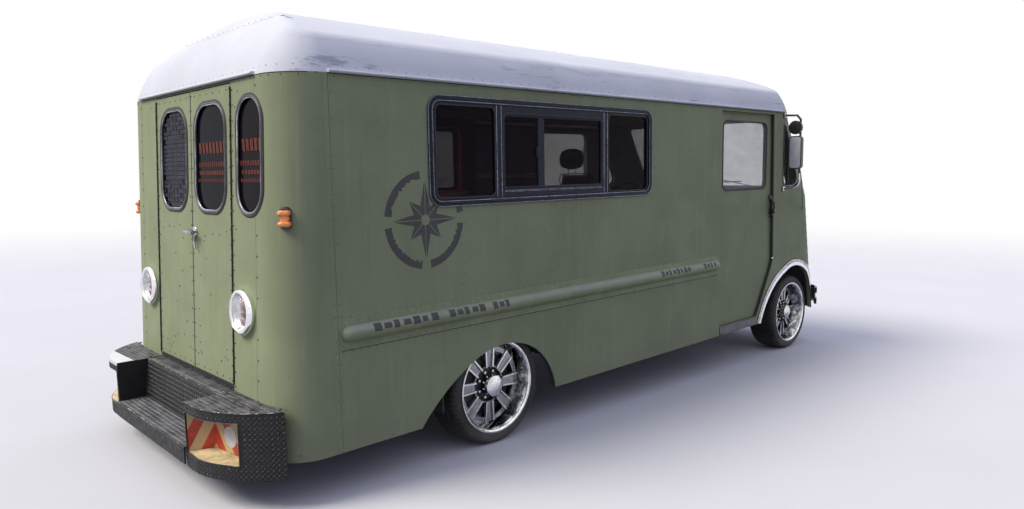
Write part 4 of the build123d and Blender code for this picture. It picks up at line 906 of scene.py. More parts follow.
FINISHES = {finish.name: finish for finish in (
    WallPaint("wall", OLIVE, 0.58, 0.1, 1.6, specular=0.12, spread=0.1, dust=0.35, dust_top=0.5,
        lining=(0.035, 0.033, 0.034)),
    WallPaint("cab", OLIVE, 0.58, 0.1, 1.6, specular=0.12, spread=0.1, dust=0.35, dust_top=0.5),
    MouldingPaint("moulding", OLIVE, 0.48, 0.12, 5.0, specular=0.25),
    Finish("rivet", (0.225, 0.27, 0.15), 0.5, 0.3, 9.0),
    Finish("dark_rivet", (0.026, 0.028, 0.02), 0.6, 0.5, 14.0),
    Finish("roof_rivet", (0.36, 0.39, 0.42), 0.5, 0.4, 12.0),
    Finish("lap", (0.13, 0.155, 0.09), 0.6, 0.4, 12.0),
    Finish("seam", (0.02, 0.022, 0.018), 0.8, 0.4, 12.0),
    RoofPaint("roof", (0.7, 0.72, 0.75), 0.6, 0.07, 1.3, specular=0.1),
    TreadPaint("tread", (0.012, 0.012, 0.014), 0.55, 0.3, 8.0, specular=0.3, spread=0.15),
    TreadPaint("tread_top", (0.02, 0.02, 0.022), 0.55, 0.4, 9.0, specular=0.3, spread=0.15,
        bare=0.45),
    TreadPaint("lozenge", (0.22, 0.22, 0.23), 0.42, 0.7, 26.0, spread=0.15, bare=0.95),
    TreadPaint("tower_lozenge", (0.02, 0.02, 0.022), 0.42, 0.5, 22.0, spread=0.12, bare=0.8),
    Finish("worn_edge", (0.035, 0.035, 0.036), 0.45, 0.6, 20.0,
        wear=Wear(0.21, (0.48, 0.48, 0.47), 24.0)),
    Finish("chassis", (0.022, 0.022, 0.023), 0.62, 0.4, 7.0, dust=0.5,
        wear=Wear(0.06, (0.1, 0.055, 0.03))),
    Finish("black", (0.012, 0.012, 0.013), 0.32, 0.3, 10.0, coat=0.2,
        wear=Wear(0.03, (0.16, 0.16, 0.16))),
    Finish("plastic", (0.02, 0.02, 0.021), 0.5, 0.2, 14.0, grain_scale=900.0, grain=0.0002),
    Finish("rubber", (0.016, 0.016, 0.017), 0.62, 0.3, 16.0, grain=0.0002),
    Finish("grey_rubber", (0.1, 0.1, 0.105), 0.45, 0.7, 9.0, spread=0.12,
        wear=Wear(0.05, (0.03, 0.03, 0.03), 24.0)),
    Finish("tyre", (0.019, 0.019, 0.019), 0.72, 0.35, 18.0, grain_scale=700.0, grain=0.0003,
        dust=0.45, dust_top=0.2),
    Finish("chrome", (0.86, 0.87, 0.89), 0.07, 0.06, 12.0, metal=1.0, spread=0.045,
        grain_scale=60.0, grain=8e-05),
    WheelChrome("wheel_chrome", (0.74, 0.75, 0.77), 0.1, 0.3, 12.0, metal=1.0, spread=0.05),
    # Mirror glass only part metal: its pale diffuse colour is a painted reflection.
    Finish("mirror_painted_reflection", (0.72, 0.75, 0.77), 0.14, 0.1, 9.0, metal=0.4, spread=0.04, grain=4e-05),
    Finish("old_chrome", (0.4, 0.41, 0.44), 0.22, 0.5, 18.0, metal=1.0, spread=0.1, grain=0.0001),
    Finish("dull_chrome", (0.62, 0.63, 0.64), 0.24, 0.3, 16.0, metal=1.0, spread=0.1, grain=0.0001),
    Brushed("alloy", (0.52, 0.52, 0.52), 0.36, 0.25, 7.0, metal=0.9, spread=0.12, grain=0.0002,
        wear=Wear(0.05, (0.13, 0.12, 0.11))),
    Brushed("floor", (0.26, 0.26, 0.26), 0.48, 0.4, 5.0, metal=0.7, spread=0.15,
        wear=Wear(0.08, (0.09, 0.08, 0.07))),
    Finish("liner", (0.075, 0.077, 0.08), 0.66, 0.35, 4.0, wear=Wear(0.05, (0.2, 0.19, 0.17))),
    Finish("iron", (0.045, 0.043, 0.04), 0.58, 0.5, 9.0, metal=0.4,
        wear=Wear(0.1, (0.13, 0.06, 0.03), 18.0)),
    Finish("iron_hub", (0.035, 0.035, 0.036), 0.36, 0.5, 20.0, metal=0.8),
    Finish("frame", (0.012, 0.015, 0.03), 0.45, 0.3, 9.0, specular=0.2,
        wear=Wear(0.04, (0.1, 0.11, 0.14), 45.0)),
    Finish("edge", (0.22, 0.24, 0.3), 0.3, 0.5, 14.0, metal=0.7,
        wear=Wear(0.1, (0.05, 0.05, 0.07))),
    Finish("filler", (0.5, 0.51, 0.53), 0.32, 0.8, 7.0, metal=0.3,
        wear=Wear(0.08, (0.06, 0.06, 0.06), 20.0)),
    Hide("hide", (0.02, 0.02, 0.022), 0.46, 0.25, 12.0),
    Hide("piping", (0.045, 0.045, 0.048), 0.5, 0.2, 20.0),
    Timber("timber", (0.42, 0.25, 0.12), 0.45, 0.15, 4.0),
    Finish("cupboard", (0.05, 0.047, 0.045), 0.5, 0.25, 6.0, wear=Wear(0.03, (0.2, 0.18, 0.15))),
    Stripes("stripes", (0.6, 0.062, 0.028), 0.42, 0.18, 16.0),
    Finish("red_panel", (0.58, 0.062, 0.03), 0.42, 0.2, 16.0,
        wear=Wear(0.07, (0.6, 0.42, 0.25), 26.0)),
    Finish("cream", (0.76, 0.63, 0.34), 0.5, 0.35, 14.0, wear=Wear(0.09, (0.28, 0.1, 0.05), 22.0)),
    Finish("oval", (0.78, 0.79, 0.8), 0.35, 0.12, 20.0, wear=Wear(0.03, (0.25, 0.25, 0.25), 60.0)),
    WallPaint("stencil", (0.021, 0.024, 0.03), 0.5, 0.3, 6.0, speckle=(0.15, 0.18, 0.11),
        wear=Wear(0.055, (0.16, 0.19, 0.115), 11.0)),
    Finish("red", (0.52, 0.06, 0.04), 0.4, 0.3, 9.0),
    Pane("glass_dark", (0.012, 0.007, 0.012), 0.6, ior=1.12, clear_from=4.5),
    Pane("glass_rear", (0.0045, 0.0045, 0.01), 0.95, ior=1.1),
    Pane("glass_clear", (0.3, 0.36, 0.4), 0.24),
    Finish("sign_bars", (0.115, 0.022, 0.01), 0.5, 0.45, 30.0, specular=0.15,
        wear=Wear(0.12, (0.02, 0.015, 0.02), 30.0)),
    Finish("pale_bars", (0.105, 0.11, 0.145), 0.5, 0.5, 30.0, specular=0.2,
        wear=Wear(0.14, (0.02, 0.02, 0.03), 40.0)),
    # The amber lenses carry a faint painted glow.
    Lens("amber", (0.9, 0.26, 0.03), 1.0, ribs=900.0, glow=0.12),
    Lens("pink_bulb", (0.42, 0.2, 0.19), 1.0),
    Lens("clear_lens", (0.85, 0.87, 0.9), 0.14),
    Finish("gauge", (0.55, 0.55, 0.5), 0.3, 0.1, 30.0),
)}


class Palette:
    """Makes each finish the first time that a piece asks for it."""

    def __init__(self) -> None:
        """Starts with no material made."""
        self.made: dict[str, Material] = {}

    def __getitem__(self, key: str) -> Material:
        """Gives the material of a finish."""
        if key not in self.made:
            self.made[key] = FINISHES[key].make()
        return self.made[key]


@dataclass
class Assembly:
    """One sub-assembly of the van. Its pieces take their finishes from the palette."""

    palette: Palette

    def put(self, mesh: Mesh, name: str, finish: str, slot: str, body: str = VAN,
            stand: Stand = Stand.BODY, smooth: float = 40.0) -> Thing:
        """Builds a mesh as a piece with one of the finishes.

        Args:
            mesh: The piece's points and faces, in millimetres.
            name: Name of the piece.
            finish: Name of its finish.
            slot: CAD material that it belongs to.
            body: The body that it rides on.
            stand: The frame that its points are given in.
            smooth: Edges up to this many degrees are shaded smooth.

        Returns:
            The piece, linked into the scene.
        """
        return mesh.build(name, body, self.palette[finish], slot, stand, smooth)

    def dress(self, finish: str, *nodes: str) -> None:
        """Gives a finish to CAD nodes.

        Args:
            finish: Name of the finish.
            nodes: Names of the nodes.
        """
        for name in nodes:
            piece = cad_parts[name]
            piece.data.materials.clear()
            piece.data.materials.append(self.palette[finish])
            LOG.info("%s wears %s", name, finish)


# Outside of the body

@dataclass
class BodyShell(Assembly):
    """Painted sheets, their rivets, seams and stencilled marks."""

    rivet: Flat = (5.8, 2.2)
    rail_flange: Box4 = (345, 3986, 765, 927)
    rail_z: float = 847.0
    rail_r: float = 44.0
    rib_x: tuple[float, ...] = (1180, 1945, 3075, 3560)
    corner_gap: Flat = (1452, 2080)
    handle_spot: Flat = (-44, 1345)
    ring_centre: Flat = (910, 1405)
    ring_r: Flat = (225, 272)
    rose_hub: float = 30.0
    rose_tips: Box4 = (216, 84, 146, 84)

    def build(self) -> None:
        """Makes and dresses all of it."""
        self.dress("wall", "side_wall_right", "side_wall_left", "corner_panel_right",
                   "corner_panel_left", "rear_frame", "rear_door_right", "rear_door_left")
        self.dress("cab", "cab_side_right", "cab_side_left", "nose_panel", "windscreen_frame",
                   "sliding_door_right", "sliding_door_left")
        self.dress("moulding", "rub_rails")
        self.side_rivets()
        self.side_lines()
        self.rear_rivets()
        self.rear_lines()
        self.cab_rivets()
        self.door_rivets()
        self.ring_stencil()
        self.rail_marks()
        self.rear_handle()

    def rear_handle(self) -> None:
        """Plated turning handle over the right rear door's own."""
        y, z = self.handle_spot
        x = RAKE * z
        mesh = Mesh()
        mesh.disc((x, y, z), BACK, ((33, -1), (33, 5), (28, 10), (14, 12), (13, 46), (0, 47)), 28)
        grip = ((66, 2), (20, 0), (-20, 0), (-66, -2))
        mesh.tube([(x - 42, y + dy, z + dz) for dy, dz in grip], 12.5, 12)
        drop = ((12, 16, 24), (22, 26, 60), (22, 40, 96))
        mesh.tube([(x - dx, y - dy, z - dz) for dx, dy, dz in drop], 7)
        self.put(mesh, "rear_door_handle", "old_chrome", "chrome", "rear_door_right")

    def both_walls(self, mesh: Mesh, points: Iterable[Flat], off: float = 0) -> None:
        """Sets rivets at x and z on both body sides."""
        for x, z in points:
            for side, out in FLANKS:
                mesh.rivet((x, side * (HALF_W + off), z), out, *self.rivet)

    def side_rivets(self) -> None:
        """Rivets along the seams, ribs, moulding and lower edge of both side walls."""
        mesh = Mesh()
        x0, x1, z0, z1 = self.rail_flange
        spots = row(x0 + 20, x1 - 20, 50, z0 - 12) + row(x0 + 20, x1 - 20, 50, z1 + 10)
        spots += row(360, 830, 58, SKIRT_Z + 18) + row(1990, 3990, 58, SKIRT_Z + 18)
        spots += row(370, 4890, 76, DRIP_Z - 18)
        for dx in (-14, 14):
            spots += column(CORNER_SEAM_X + dx, SKIRT_Z + 30, DRIP_Z - 30, 62)
        for x in [rib + dx for rib in self.rib_x for dx in (-15, 15)]:
            spots += column(x, 950, 1440 if x < 3010 else 2130, 64)
            if x > 1990:
                spots += column(x, SKIRT_Z + 50, 740, 64)
        spots += [p for p in column(3990, SKIRT_Z + 40, 2120, 62) if not 740 < p[1] < 940]
        self.both_walls(mesh, spots)
        self.both_walls(mesh, row(x0 + 55, x1 - 55, 62, z0 + 12) + row(x0 + 55, x1 - 55, 62,
            z1 - 12), 3)
        self.put(mesh, "side_wall_rivets", "rivet", "olive_paint")

    def side_lines(self) -> None:
        """Fold lines, seam lines and lap strips of both side walls."""
        folds, seams, laps = Mesh(), Mesh(), Mesh()
        x0, x1, z0, _ = self.rail_flange
        # mesh, x from, x to, z from, z to, width, height
        lines = ((folds, CORNER_SEAM_X, CORNER_SEAM_X, SKIRT_Z + 2, DRIP_Z - 2, 3, 0.5),
                 (seams, x0 + 8, x1 - 8, z0 - 4, z0 - 4, 3.4, 0.9),
                 (laps, CORNER_SEAM_X - 17, CORNER_SEAM_X - 17, SKIRT_Z + 4, DRIP_Z - 4, 26, 1),
                 (laps, 345, 806, SKIRT_Z + 5, SKIRT_Z + 5, 9, 2),
                 (laps, 1974, 4010, SKIRT_Z + 5, SKIRT_Z + 5, 9, 2))
        for side, out in FLANKS:
            for mesh, xa, xb, za, zb, width, height in lines:
                mesh.strip(upright(side * HALF_W, ((xa, za), (xb, zb))), out, width, height)
        self.put(folds, "side_fold_lines", "lap", "olive_paint")
        self.put(seams, "side_seam_lines", "seam", "olive_paint")
        self.put(laps, "side_lap_strips", "cab", "olive_paint")

    def rear_rivets(self) -> None:
        """Dark rivets on the rear wall and its rounded corners."""
        rng = random.Random(7)
        mesh = Mesh()
        low, high = self.corner_gap
        for y, pitch in ((DOOR_HALF + 17, 78), (CORNER_SEAM_Y + 12, 105)):
            for side, _ in SIDES:
                for z in spaced(300, 2110, pitch):
                    on_lamp = math.hypot(y - 700, z - 960) < 150
                    if on_lamp or (side == RIGHT and y > CORNER_SEAM_Y and low < z < high):
                        continue
                    spot_y = side * (y + rng.uniform(-1.5, 1.5))
                    mesh.rivet(on_rear(spot_y, z), rear_out(spot_y), 6, 2.6)
        for y in spaced(-1085, 1085, 60):
            for z in (DRIP_Z - 14, 262):
                if z > 300 or abs(y) > 590:
                    mesh.rivet(on_rear(y, z), rear_out(y), 4.2, 2)
        for y, z in ((-607, 2020), (-598, 1385), (-640, 2098), (655, 2100), (640, 1330),
                     (690, 480), (-660, 470)):
            mesh.rivet(on_rear(y, z), rear_out(y), 5.4, 2.4)
        self.put(mesh, "rear_wall_rivets", "dark_rivet", "olive_paint")

    def rear_lines(self) -> None:
        """Seams of the rear corners, clear of the corner window, and the doors' hinges."""
        lines, barrels = Mesh(), Mesh()
        foot, top = 232, DRIP_Z - 3
        for side, spans in ((RIGHT, ((foot, self.corner_gap[0]), (self.corner_gap[1], top))),
                            (LEFT, ((foot, top),))):
            y = side * CORNER_SEAM_Y
            for span in spans:
                lines.strip([on_rear(y, z) for z in span], rear_out(y), 2.2, 0.5)
            for low, high in pairs(spaced(545, 2130, 72)):
                y = side * (DOOR_HALF + 1)
                barrels.tube([on_rear(y, z, -4.4) for z in (low + 1, high - 1)], 4.2, 8)
        self.put(lines, "rear_seam_lines", "lap", "olive_paint")
        self.put(barrels, "rear_door_hinges", "seam", "olive_paint")

    def door_rivets(self) -> None:
        """Rivets and foot seal of each rear door, and the gap between them."""
        rng = random.Random(11)
        for side, word in SIDES:
            mesh, lip = Mesh(), Mesh()
            spots: list[Flat] = []
            for y in (18, DOOR_HALF - 22):
                spots += [(y + rng.uniform(-3, 3), z) for z in spaced(560, 2120, 82)]
            spots += row(60, 500, 88, 566) + row(60, 500, 88, 2116)
            spots += [(y + rng.uniform(-14, 14), 1345 + rng.uniform(-22, 30))
                      for y in spaced(100, 470, 92)]
            spots += [(rng.uniform(60, 480), rng.uniform(600, 760)) for _ in range(8)]
            spots += [(rng.uniform(70, 300), z) for z in spaced(800, 1300, 100)]
            for y, z in spots:
                mesh.rivet((RAKE * z, side * y, z), rear_out(0), rng.uniform(4.4, 6.4), 2.2)
            door = "rear_door_" + word
            self.put(mesh, "rear_door_rivets_" + word, "dark_rivet", "olive_paint", door)
            if side == RIGHT:
                gap = Mesh()
                gap.strip([(RAKE * z, -4.5, z) for z in (534, 2132)], rear_out(0), 7, 1)
                self.put(gap, "rear_door_gap", "seam", "olive_paint", door)
            foot = RAKE * 536
            lip.box(foot - 4, foot, side * 8, side * (DOOR_HALF - 12), 531, 545, 1)
            self.put(lip, "rear_door_sweep_" + word, "rubber", "black_plastic", door)

    def cab_rivets(self) -> None:
        """Rivets along the seams of the cab side and round its window."""
        mesh = Mesh()
        spots = [(4990 - 8 * (z - 807) / 1330, z) for z in spaced(830, 2120, 74)]
        self.both_walls(mesh, spots + [(screen_x(z) - 205, z) for z in spaced(760, 2110, 82)])
        back = 150
        y = HALF_W - CORNER_R + math.sqrt(CORNER_R ** 2 - (CORNER_R - back) ** 2)
        for z in spaced(300, 1390, 78):
            for side, out in FLANKS:
                mesh.rivet(on_screen(side * y, z, -back), (out + AHEAD * 0.35).normalized(), 4.6, 2)
        self.put(mesh, "cab_rivets", "rivet", "olive_paint")

    def ring_stencil(self) -> None:
        """A plain ring in four arcs round an eight-armed rose, stencilled behind the window."""
        rng = random.Random(3)
        mesh = Mesh()
        steps = 22
        for quarter in range(4):
            for i in range(steps):
                a, b = (math.radians(90 * quarter + 7 + 76 * k / steps) for k in (i, i + 1))
                cut = rng.uniform(0, 5) if rng.random() < 0.6 else rng.uniform(4, 13)
                low, high = self.ring_r[0] + cut, self.ring_r[1]
                self.patch(mesh, ((low, a, 0), (high, a, 0), (high, b, 0), (low, b, 0)))
        steps = 10
        for k in range(16):
            ends = []
            for turn, gap in ((k, 2.2), (k + 1, -2.2)):
                ends.append((self.rose_tips[turn % 4], math.radians(22.5 * turn),
                             0 if turn % 2 else gap))
            for i in range(steps):
                self.patch(mesh, [
                    (self.rose_hub + (tip - self.rose_hub) * share, angle, gap)
                    for share, order in ((i / steps, ends), ((i + 1) / steps, ends[::-1]))
                    for tip, angle, gap in order])
        self.put(mesh, "ring_stencil", "stencil", "olive_paint")

    def patch(self, mesh: Mesh, corners: Iterable[Point]) -> None:
        """Adds a patch of stencil from radii, angles and sidesteps, unless the window is there."""
        cx, cz = self.ring_centre
        flat = [(cx + r * math.cos(a) - gap * math.sin(a), cz + r * math.sin(a) + gap * math.cos(a))
                for r, a, gap in corners]
        if sum(x for x, _ in flat) / 4 > 958 and sum(z for _, z in flat) / 4 > 1490:
            return
        mesh.plate(upright(-HALF_W + 0.05, flat), -ACROSS, 0.45)

    def rail_marks(self) -> None:
        """Rows of plain stencilled bars on the half-round side moulding."""
        mesh = Mesh()
        # x from, number of bars, width, gap
        groups = ((526, 7, 48, 15), (1032, 5, 44, 13), (1368, 3, 38, 14),
                  (3105, 8, 38, 13), (3700, 4, 36, 13))
        for start, count, width, gap in groups:
            for i in range(count):
                x0 = start + i * (width + gap)
                low, high = (-4, 56) if i % 2 == 0 else (4, 46)
                angles = [math.radians(low + (high - low) * k / 5) for k in range(6)]
                edge = [(self.rail_r + 0.4, a) for a in angles]
                edge += [(self.rail_r - 0.8, a) for a in angles[::-1]]
                mesh.loft([[(x, -HALF_W - 3 - r * math.cos(a), self.rail_z + r * math.sin(a))
                            for r, a in edge]
                           for x in (x0, x0 + width * (0.75 if i % 3 == 2 else 1))], caps=True)
        self.put(mesh, "moulding_bars", "stencil", "olive_paint")


@dataclass
class Roof(Assembly):
    """White crowned roof with its rivets, seam straps and gutter beads."""

    nodes: tuple[str, ...] = ("roof_rear_cap", "roof_middle", "roof_front_cap")
    seam_x: tuple[float, ...] = (337, 1480, 2620, 3600, 4363)
    far: float = 2200.0

    def build(self) -> None:
        """Makes and dresses all of it."""
        self.dress("roof", *self.nodes)
        self.seams()
        self.beads()
        self.foot_rivets()

    def hit(self, start: Vector, toward: Vector) -> Optional[Place]:
        """Finds where a ray meets the roof and the outward direction there, in the body frame.

        Args:
            start: Where the ray starts.
            toward: Where it points.

        Returns:
            The spot and the outward direction, or nothing.
        """
        matrix = stand_matrix(Stand.BODY)
        back = matrix.inverted()
        start, toward = matrix @ start, (matrix.to_3x3() @ toward).normalized()
        hits = [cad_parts[name].ray_cast(start, toward) for name in self.nodes]
        hits = sorted((h for h in hits if h[0]), key=lambda h: (h[1] - start).length)
        if not hits:
            return None
        return back @ hits[0][1], (back.to_3x3() @ hits[0][2]).normalized()

    def seams(self) -> None:
        """Straps over the cross seams with a column of rivets each side."""
        straps, rivets = Mesh(), Mesh()
        for x in self.seam_x:
            hub = Vector((x, 0, DRIP_Z + 30))
            leans = [math.radians(-70 + 140 * i / 60) for i in range(61)]
            starts = [Vector((x, self.far * math.sin(a), hub.z + self.far * math.cos(a)))
                      for a in leans]
            places = [p for p in (self.hit(start, hub - start) for start in starts) if p]
            straps.strip(*zip(*places), 34 if x in (337, 4363) else 26, 0.9)
            along, last = 0, places[0][0]
            for spot, out in places:
                along += (spot - last).length
                last = spot
                if along > 62:
                    along = 0
                    for dx in (-9.5, 9.5):
                        rivets.rivet(spot + AHEAD * dx + out * 0.7, out, 4.4, 1.9)
        self.put(straps, "roof_seam_straps", "roof", "white_paint")
        self.put(rivets, "roof_seam_rivets", "roof_rivet", "white_paint")

    def beads(self) -> None:
        """Rolled edges of the gutters, along the sides and over the rear doors, and a dark strip
        under them that is painted shadow.
        """
        mesh, shadow = Mesh(), Mesh()
        out, top, foot = 14, DRIP_Z + 8, DRIP_Z - 3
        for side, away in FLANKS:
            y = side * (HALF_W + out)
            mesh.tube([(CORNER_SEAM_X + 1, y, top), (5079, y, top)], 7.5)
            y = side * HALF_W
            # A dark strip just under the gutter: painted shadow.
            shadow.strip([(CORNER_SEAM_X, y, foot), (4985, y, foot)], away, 4, 1.2)
        x, y = RAKE * DRIP_Z - out, CORNER_SEAM_Y - 1
        mesh.tube([(x, -y, top), (x, y, top)], 7.5)
        self.put(mesh, "gutter_beads", "roof", "white_paint")
        path = [on_rear(y, foot) for y in spaced(-1120, 1120, 20)]
        shadow.strip(path, [rear_out(p[1]) for p in path], 4, 1.2)
        self.put(shadow, "gutter_painted_shadow", "seam", "olive_paint")

    def foot_rivets(self) -> None:
        """Rivets along the foot of the roof, all round."""
        mesh = Mesh()
        rays = [(Vector((-400, y, DRIP_Z + 36)), AHEAD) for y in spaced(-1060, 1060, 62)]
        rays += [(Vector((x, side * 1500, DRIP_Z + 34)), -out) for x in spaced(350, 5100, 78)
                 for side, out in FLANKS]
        for ray in rays:
            found = self.hit(*ray)
            if found:
                mesh.rivet(*found, 4.2, 1.8)
        self.put(mesh, "roof_foot_rivets", "roof_rivet", "white_paint")


@dataclass
class RearWindows(Assembly):
    """Rubber-framed panes of the rear doors and the corner, with plain bars on them."""

    door_y: Flat = (58, 487)
    window_z: Flat = (1465, 2067)
    corner_y: Flat = (-914, -623)
    door_r: float = 150.0
    corner_r: float = 135.0
    film: float = 9.0

    def build(self) -> None:
        """Makes and dresses all of it."""
        self.dress("glass_rear", "rear_door_glass_right", "rear_door_glass_left")
        for side, word in SIDES:
            low, high = sorted(side * y for y in self.door_y)
            self.rubber("rear_window_rubber_" + word, "rear_door_" + word, low, high, self.door_r)
        self.rubber("corner_window_rubber", VAN, *self.corner_y, self.corner_r)
        self.bars("right_door_bars", "rear_door_right", -470, -78)
        self.bars("corner_bars", VAN, -896, -642)
        self.lattice()
        cover = Mesh()
        outline = grown((*self.corner_y, *self.window_z), -3, self.corner_r)
        cover.plate([on_rear(y, z, 13.2) for y, z in outline], AHEAD, 0.4)
        self.put(cover, "corner_window_film", "glass_rear", "glass")

    def rubber(self, name: str, body: str, y0: float, y1: float, radius: float) -> None:
        """Runs the rubber round an opening, with its filler strip and inner lip.

        Args:
            name: Name of the piece.
            body: The body that it rides on.
            y0, y1: Sides of the opening.
            radius: Radius of its corners.
        """
        # outward from the pane's edge, size, flatness, height, finish, end of the name
        rings = ((5, 8.5, 0.6, 1, "rubber", ""), (-3, 6.5, 0.9, 3, "grey_rubber", "_lip"),
                 (-10.5, 4.4, 0.9, 1.5, "filler", "_filler"))
        for grow, size, flat, off, finish, word in rings:
            mesh = Mesh()
            path = [Vector(on_rear(y, z)) + rear_out(y) * off
                    for y, z in grown((y0, y1, *self.window_z), grow, radius, 12)]
            mesh.tube(path, size, 12, closed=True, flat=flat, up=rear_out(0))
            self.put(mesh, name + word, finish, "black_plastic", body)

    def bars(self, name: str, body: str, y0: float, y1: float) -> None:
        """Rows of plain slanting bars across a pane, as on a printed panel.

        Args:
            name: Name of the piece.
            body: The body that it rides on.
            y0, y1: Sides of the pane.
        """
        mesh = Mesh()
        # height of the row's foot, its height, width of a bar, gap
        rows = ((1790, 62, 34, 13), (1716, 26, 20, 9), (1672, 22, 26, 8),
                (1632, 18, 15, 8))
        for foot, tall, width, gap in rows:
            y = y0
            while y + width < y1:
                lean = tall * 0.18
                corners = ((y, foot), (y + width, foot), (y + width + lean, foot + tall),
                           (y + lean, foot + tall))
                mesh.plate([(RAKE * z + self.film, a, z) for a, z in corners], BACK, 0.5)
                y += width + gap
        self.put(mesh, name, "sign_bars", "glass", body)

    def lattice(self) -> None:
        """A plain net of thin lines over the left door's pane."""
        mesh = Mesh()
        y0, y1 = self.door_y
        for z in spaced(1496, 2036, 27):
            for y in spaced(y0 + 32, y1 - 32, 27):
                edge = abs(z - 1766) - 190 + abs(y - 272.5) * 0.45
                if edge > 0 and (edge % 60) < 14:
                    continue
                for dy in (10, -10):
                    mesh.strip([(RAKE * (z + s * 10) + self.film, y + s * dy, z + s * 10)
                                for s in (-1, 1)], BACK, 3.4, 0.6)
                mesh.disc((RAKE * z + self.film, y, z), BACK, ((6, -0.6), (6, 0.6), (0, 0.8)), 8)
        self.put(mesh, "left_door_lattice", "pale_bars", "glass", "rear_door_left")


@dataclass
class RoundLamps(Assembly):
    """Rear lamps and headlamps with bezel, bowl, bulbs and lens."""

    rear_r: float = 122.0
    rear_spot: Flat = (700, 960)
    head_r: float = 121.0
    head_spot: Flat = (760, 850)

    def build(self) -> None:
        """Makes and dresses all of it."""
        y, z = self.rear_spot
        back = Vector((-1, 0, RAKE)).normalized()
        rear = [(Vector(on_rear(side * y, z)), back) for side, _ in SIDES]
        self.lamps("rear_lamp", "rear_lamps", rear, self.rear_r, 40, 70)
        y, z = self.head_spot
        head = [(Vector(on_screen(side * y, z)), NOSE_OUT) for side, _ in SIDES]
        self.lamps("headlamp", "headlamps", head, self.head_r, 18, 41)

    def lamps(self, name: str, node: str, places: Sequence[Place], r: float, rim: float,
              tip: float) -> None:
        """Makes a pair of lamps in place of their CAD node.

        Args:
            name: Start of the pieces' names.
            node: CAD node that they replace.
            places: Centre and direction of each.
            r: Outer radius of the bezel.
            rim: Height of the bezel.
            tip: Height of the lens's middle.
        """
        bezel, bowl, lens, bulbs = Mesh(), Mesh(), Mesh(), Mesh()
        for spot, out in places:
            bezel.disc(spot, out, ((r - 3, -4), (r, 0), (r, rim * 0.55), (r - 5, rim * 0.86),
                                   (r - 12, rim), (r - 20, rim + 1), (r - 27, rim - 4),
                                   (r - 29, rim - 9), (r - 24, -2)), 48)
            bowl.disc(spot, out, ((r - 26, rim - 8), (r - 40, rim * 0.35), (r - 66, -1),
                                  (r - 100, -4), (0, -5)), 40)
            angles = [math.pi / 12 * i for i in range(6)]
            dome = [((r - 26) * math.cos(a), rim - 6 + (tip - rim + 5) * math.sin(a))
                    for a in angles]
            lens.disc(spot, out, dome + [(0, tip - 1)], 40)
            up = out.cross(ACROSS).normalized()
            up = up if up.z > 0 else -up
            for lift, size in ((r * 0.34, r * 0.26), (-r * 0.06, r * 0.12), (-r * 0.40, r * 0.2)):
                bulbs.disc(spot + up * lift, out, (
                    (size, -2), (size, rim * 0.3), (size * 0.8, rim * 0.5),
                    (size * 0.4, rim * 0.6), (0, rim * 0.63)), 20)
        made = self.put(bezel, name + "_bezels", "chrome", "chrome")
        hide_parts(node)
        self.put(bowl, name + "_bowls", "dull_chrome", "chrome")
        self.put(bulbs, name + "_bulbs", "pink_bulb", "glass")
        self.put(lens, name + "_lenses", "clear_lens", "glass")


@dataclass
class CornerMarkers(Assembly):
    """Two amber lenses on a black base at each rear corner."""

    angle: float = math.radians(49)
    height: float = 1455.0
    bulge: tuple[Point, ...] = ((32, 13.5, 14), (33, 14, 22), (33, 14, 36), (31.5, 12.6, 42), (28,
        9.6, 46.5), (20, 4.5, 49))

    def build(self) -> None:
        """Makes both markers in place of their CAD node."""
        base, lenses, dark = Mesh(), Mesh(), Mesh()
        for side, _ in SIDES:
            out = Vector((-math.sin(self.angle), side * math.cos(self.angle), 0))
            spot = Vector((CORNER_R + RAKE * self.height, side * (HALF_W - CORNER_R), self.height))
            foot = spot + out * (CORNER_R - 7)
            across = Vector((out.y, -out.x, 0))
            path = rounded_path(-29, 29, -56, 56, 22, 6)
            base.plate([foot + across * a + UP * b for a, b in path], out, 18)
            self.pill(base, foot, out, 37, ((22, 17, 10), (22, 17, 27), (18, 13, 31)))
            for dz in (-27, 27):
                self.pill(lenses, foot, out, dz, self.bulge)
                self.pill(dark, foot, out, dz, ((34, 15.5, 14), (34, 15.5, 19), (31, 13, 21)))
            self.pill(lenses, foot, out, 0, ((24, 16, 15), (24, 16, 34), (19, 16, 40)))
        made = self.put(base, "side_marker_bases", "black", "black_plastic")
        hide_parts("side_markers")
        self.put(dark, "side_marker_rings", "rubber", "black_plastic")
        self.put(lenses, "side_marker_lenses", "amber", "amber")

    @staticmethod
    def pill(mesh: Mesh, foot: Vector, out: Vector, lift: float, steps: Sequence[Point]) -> None:
        """Adds a long rounded boss from half-widths, half-heights and distances out."""
        across = Vector((out.y, -out.x, 0))
        rings = []
        for wide, tall, far in steps:
            path = rounded_path(-wide, wide, -tall, tall, min(wide, tall) * 0.96, 5)
            rings.append([foot + across * a + out * far + UP * (lift + b) for a, b in path])
        mesh.loft(rings, caps=True)


# Bumpers

Placer = Callable[[float, float], Optional[Trio]]


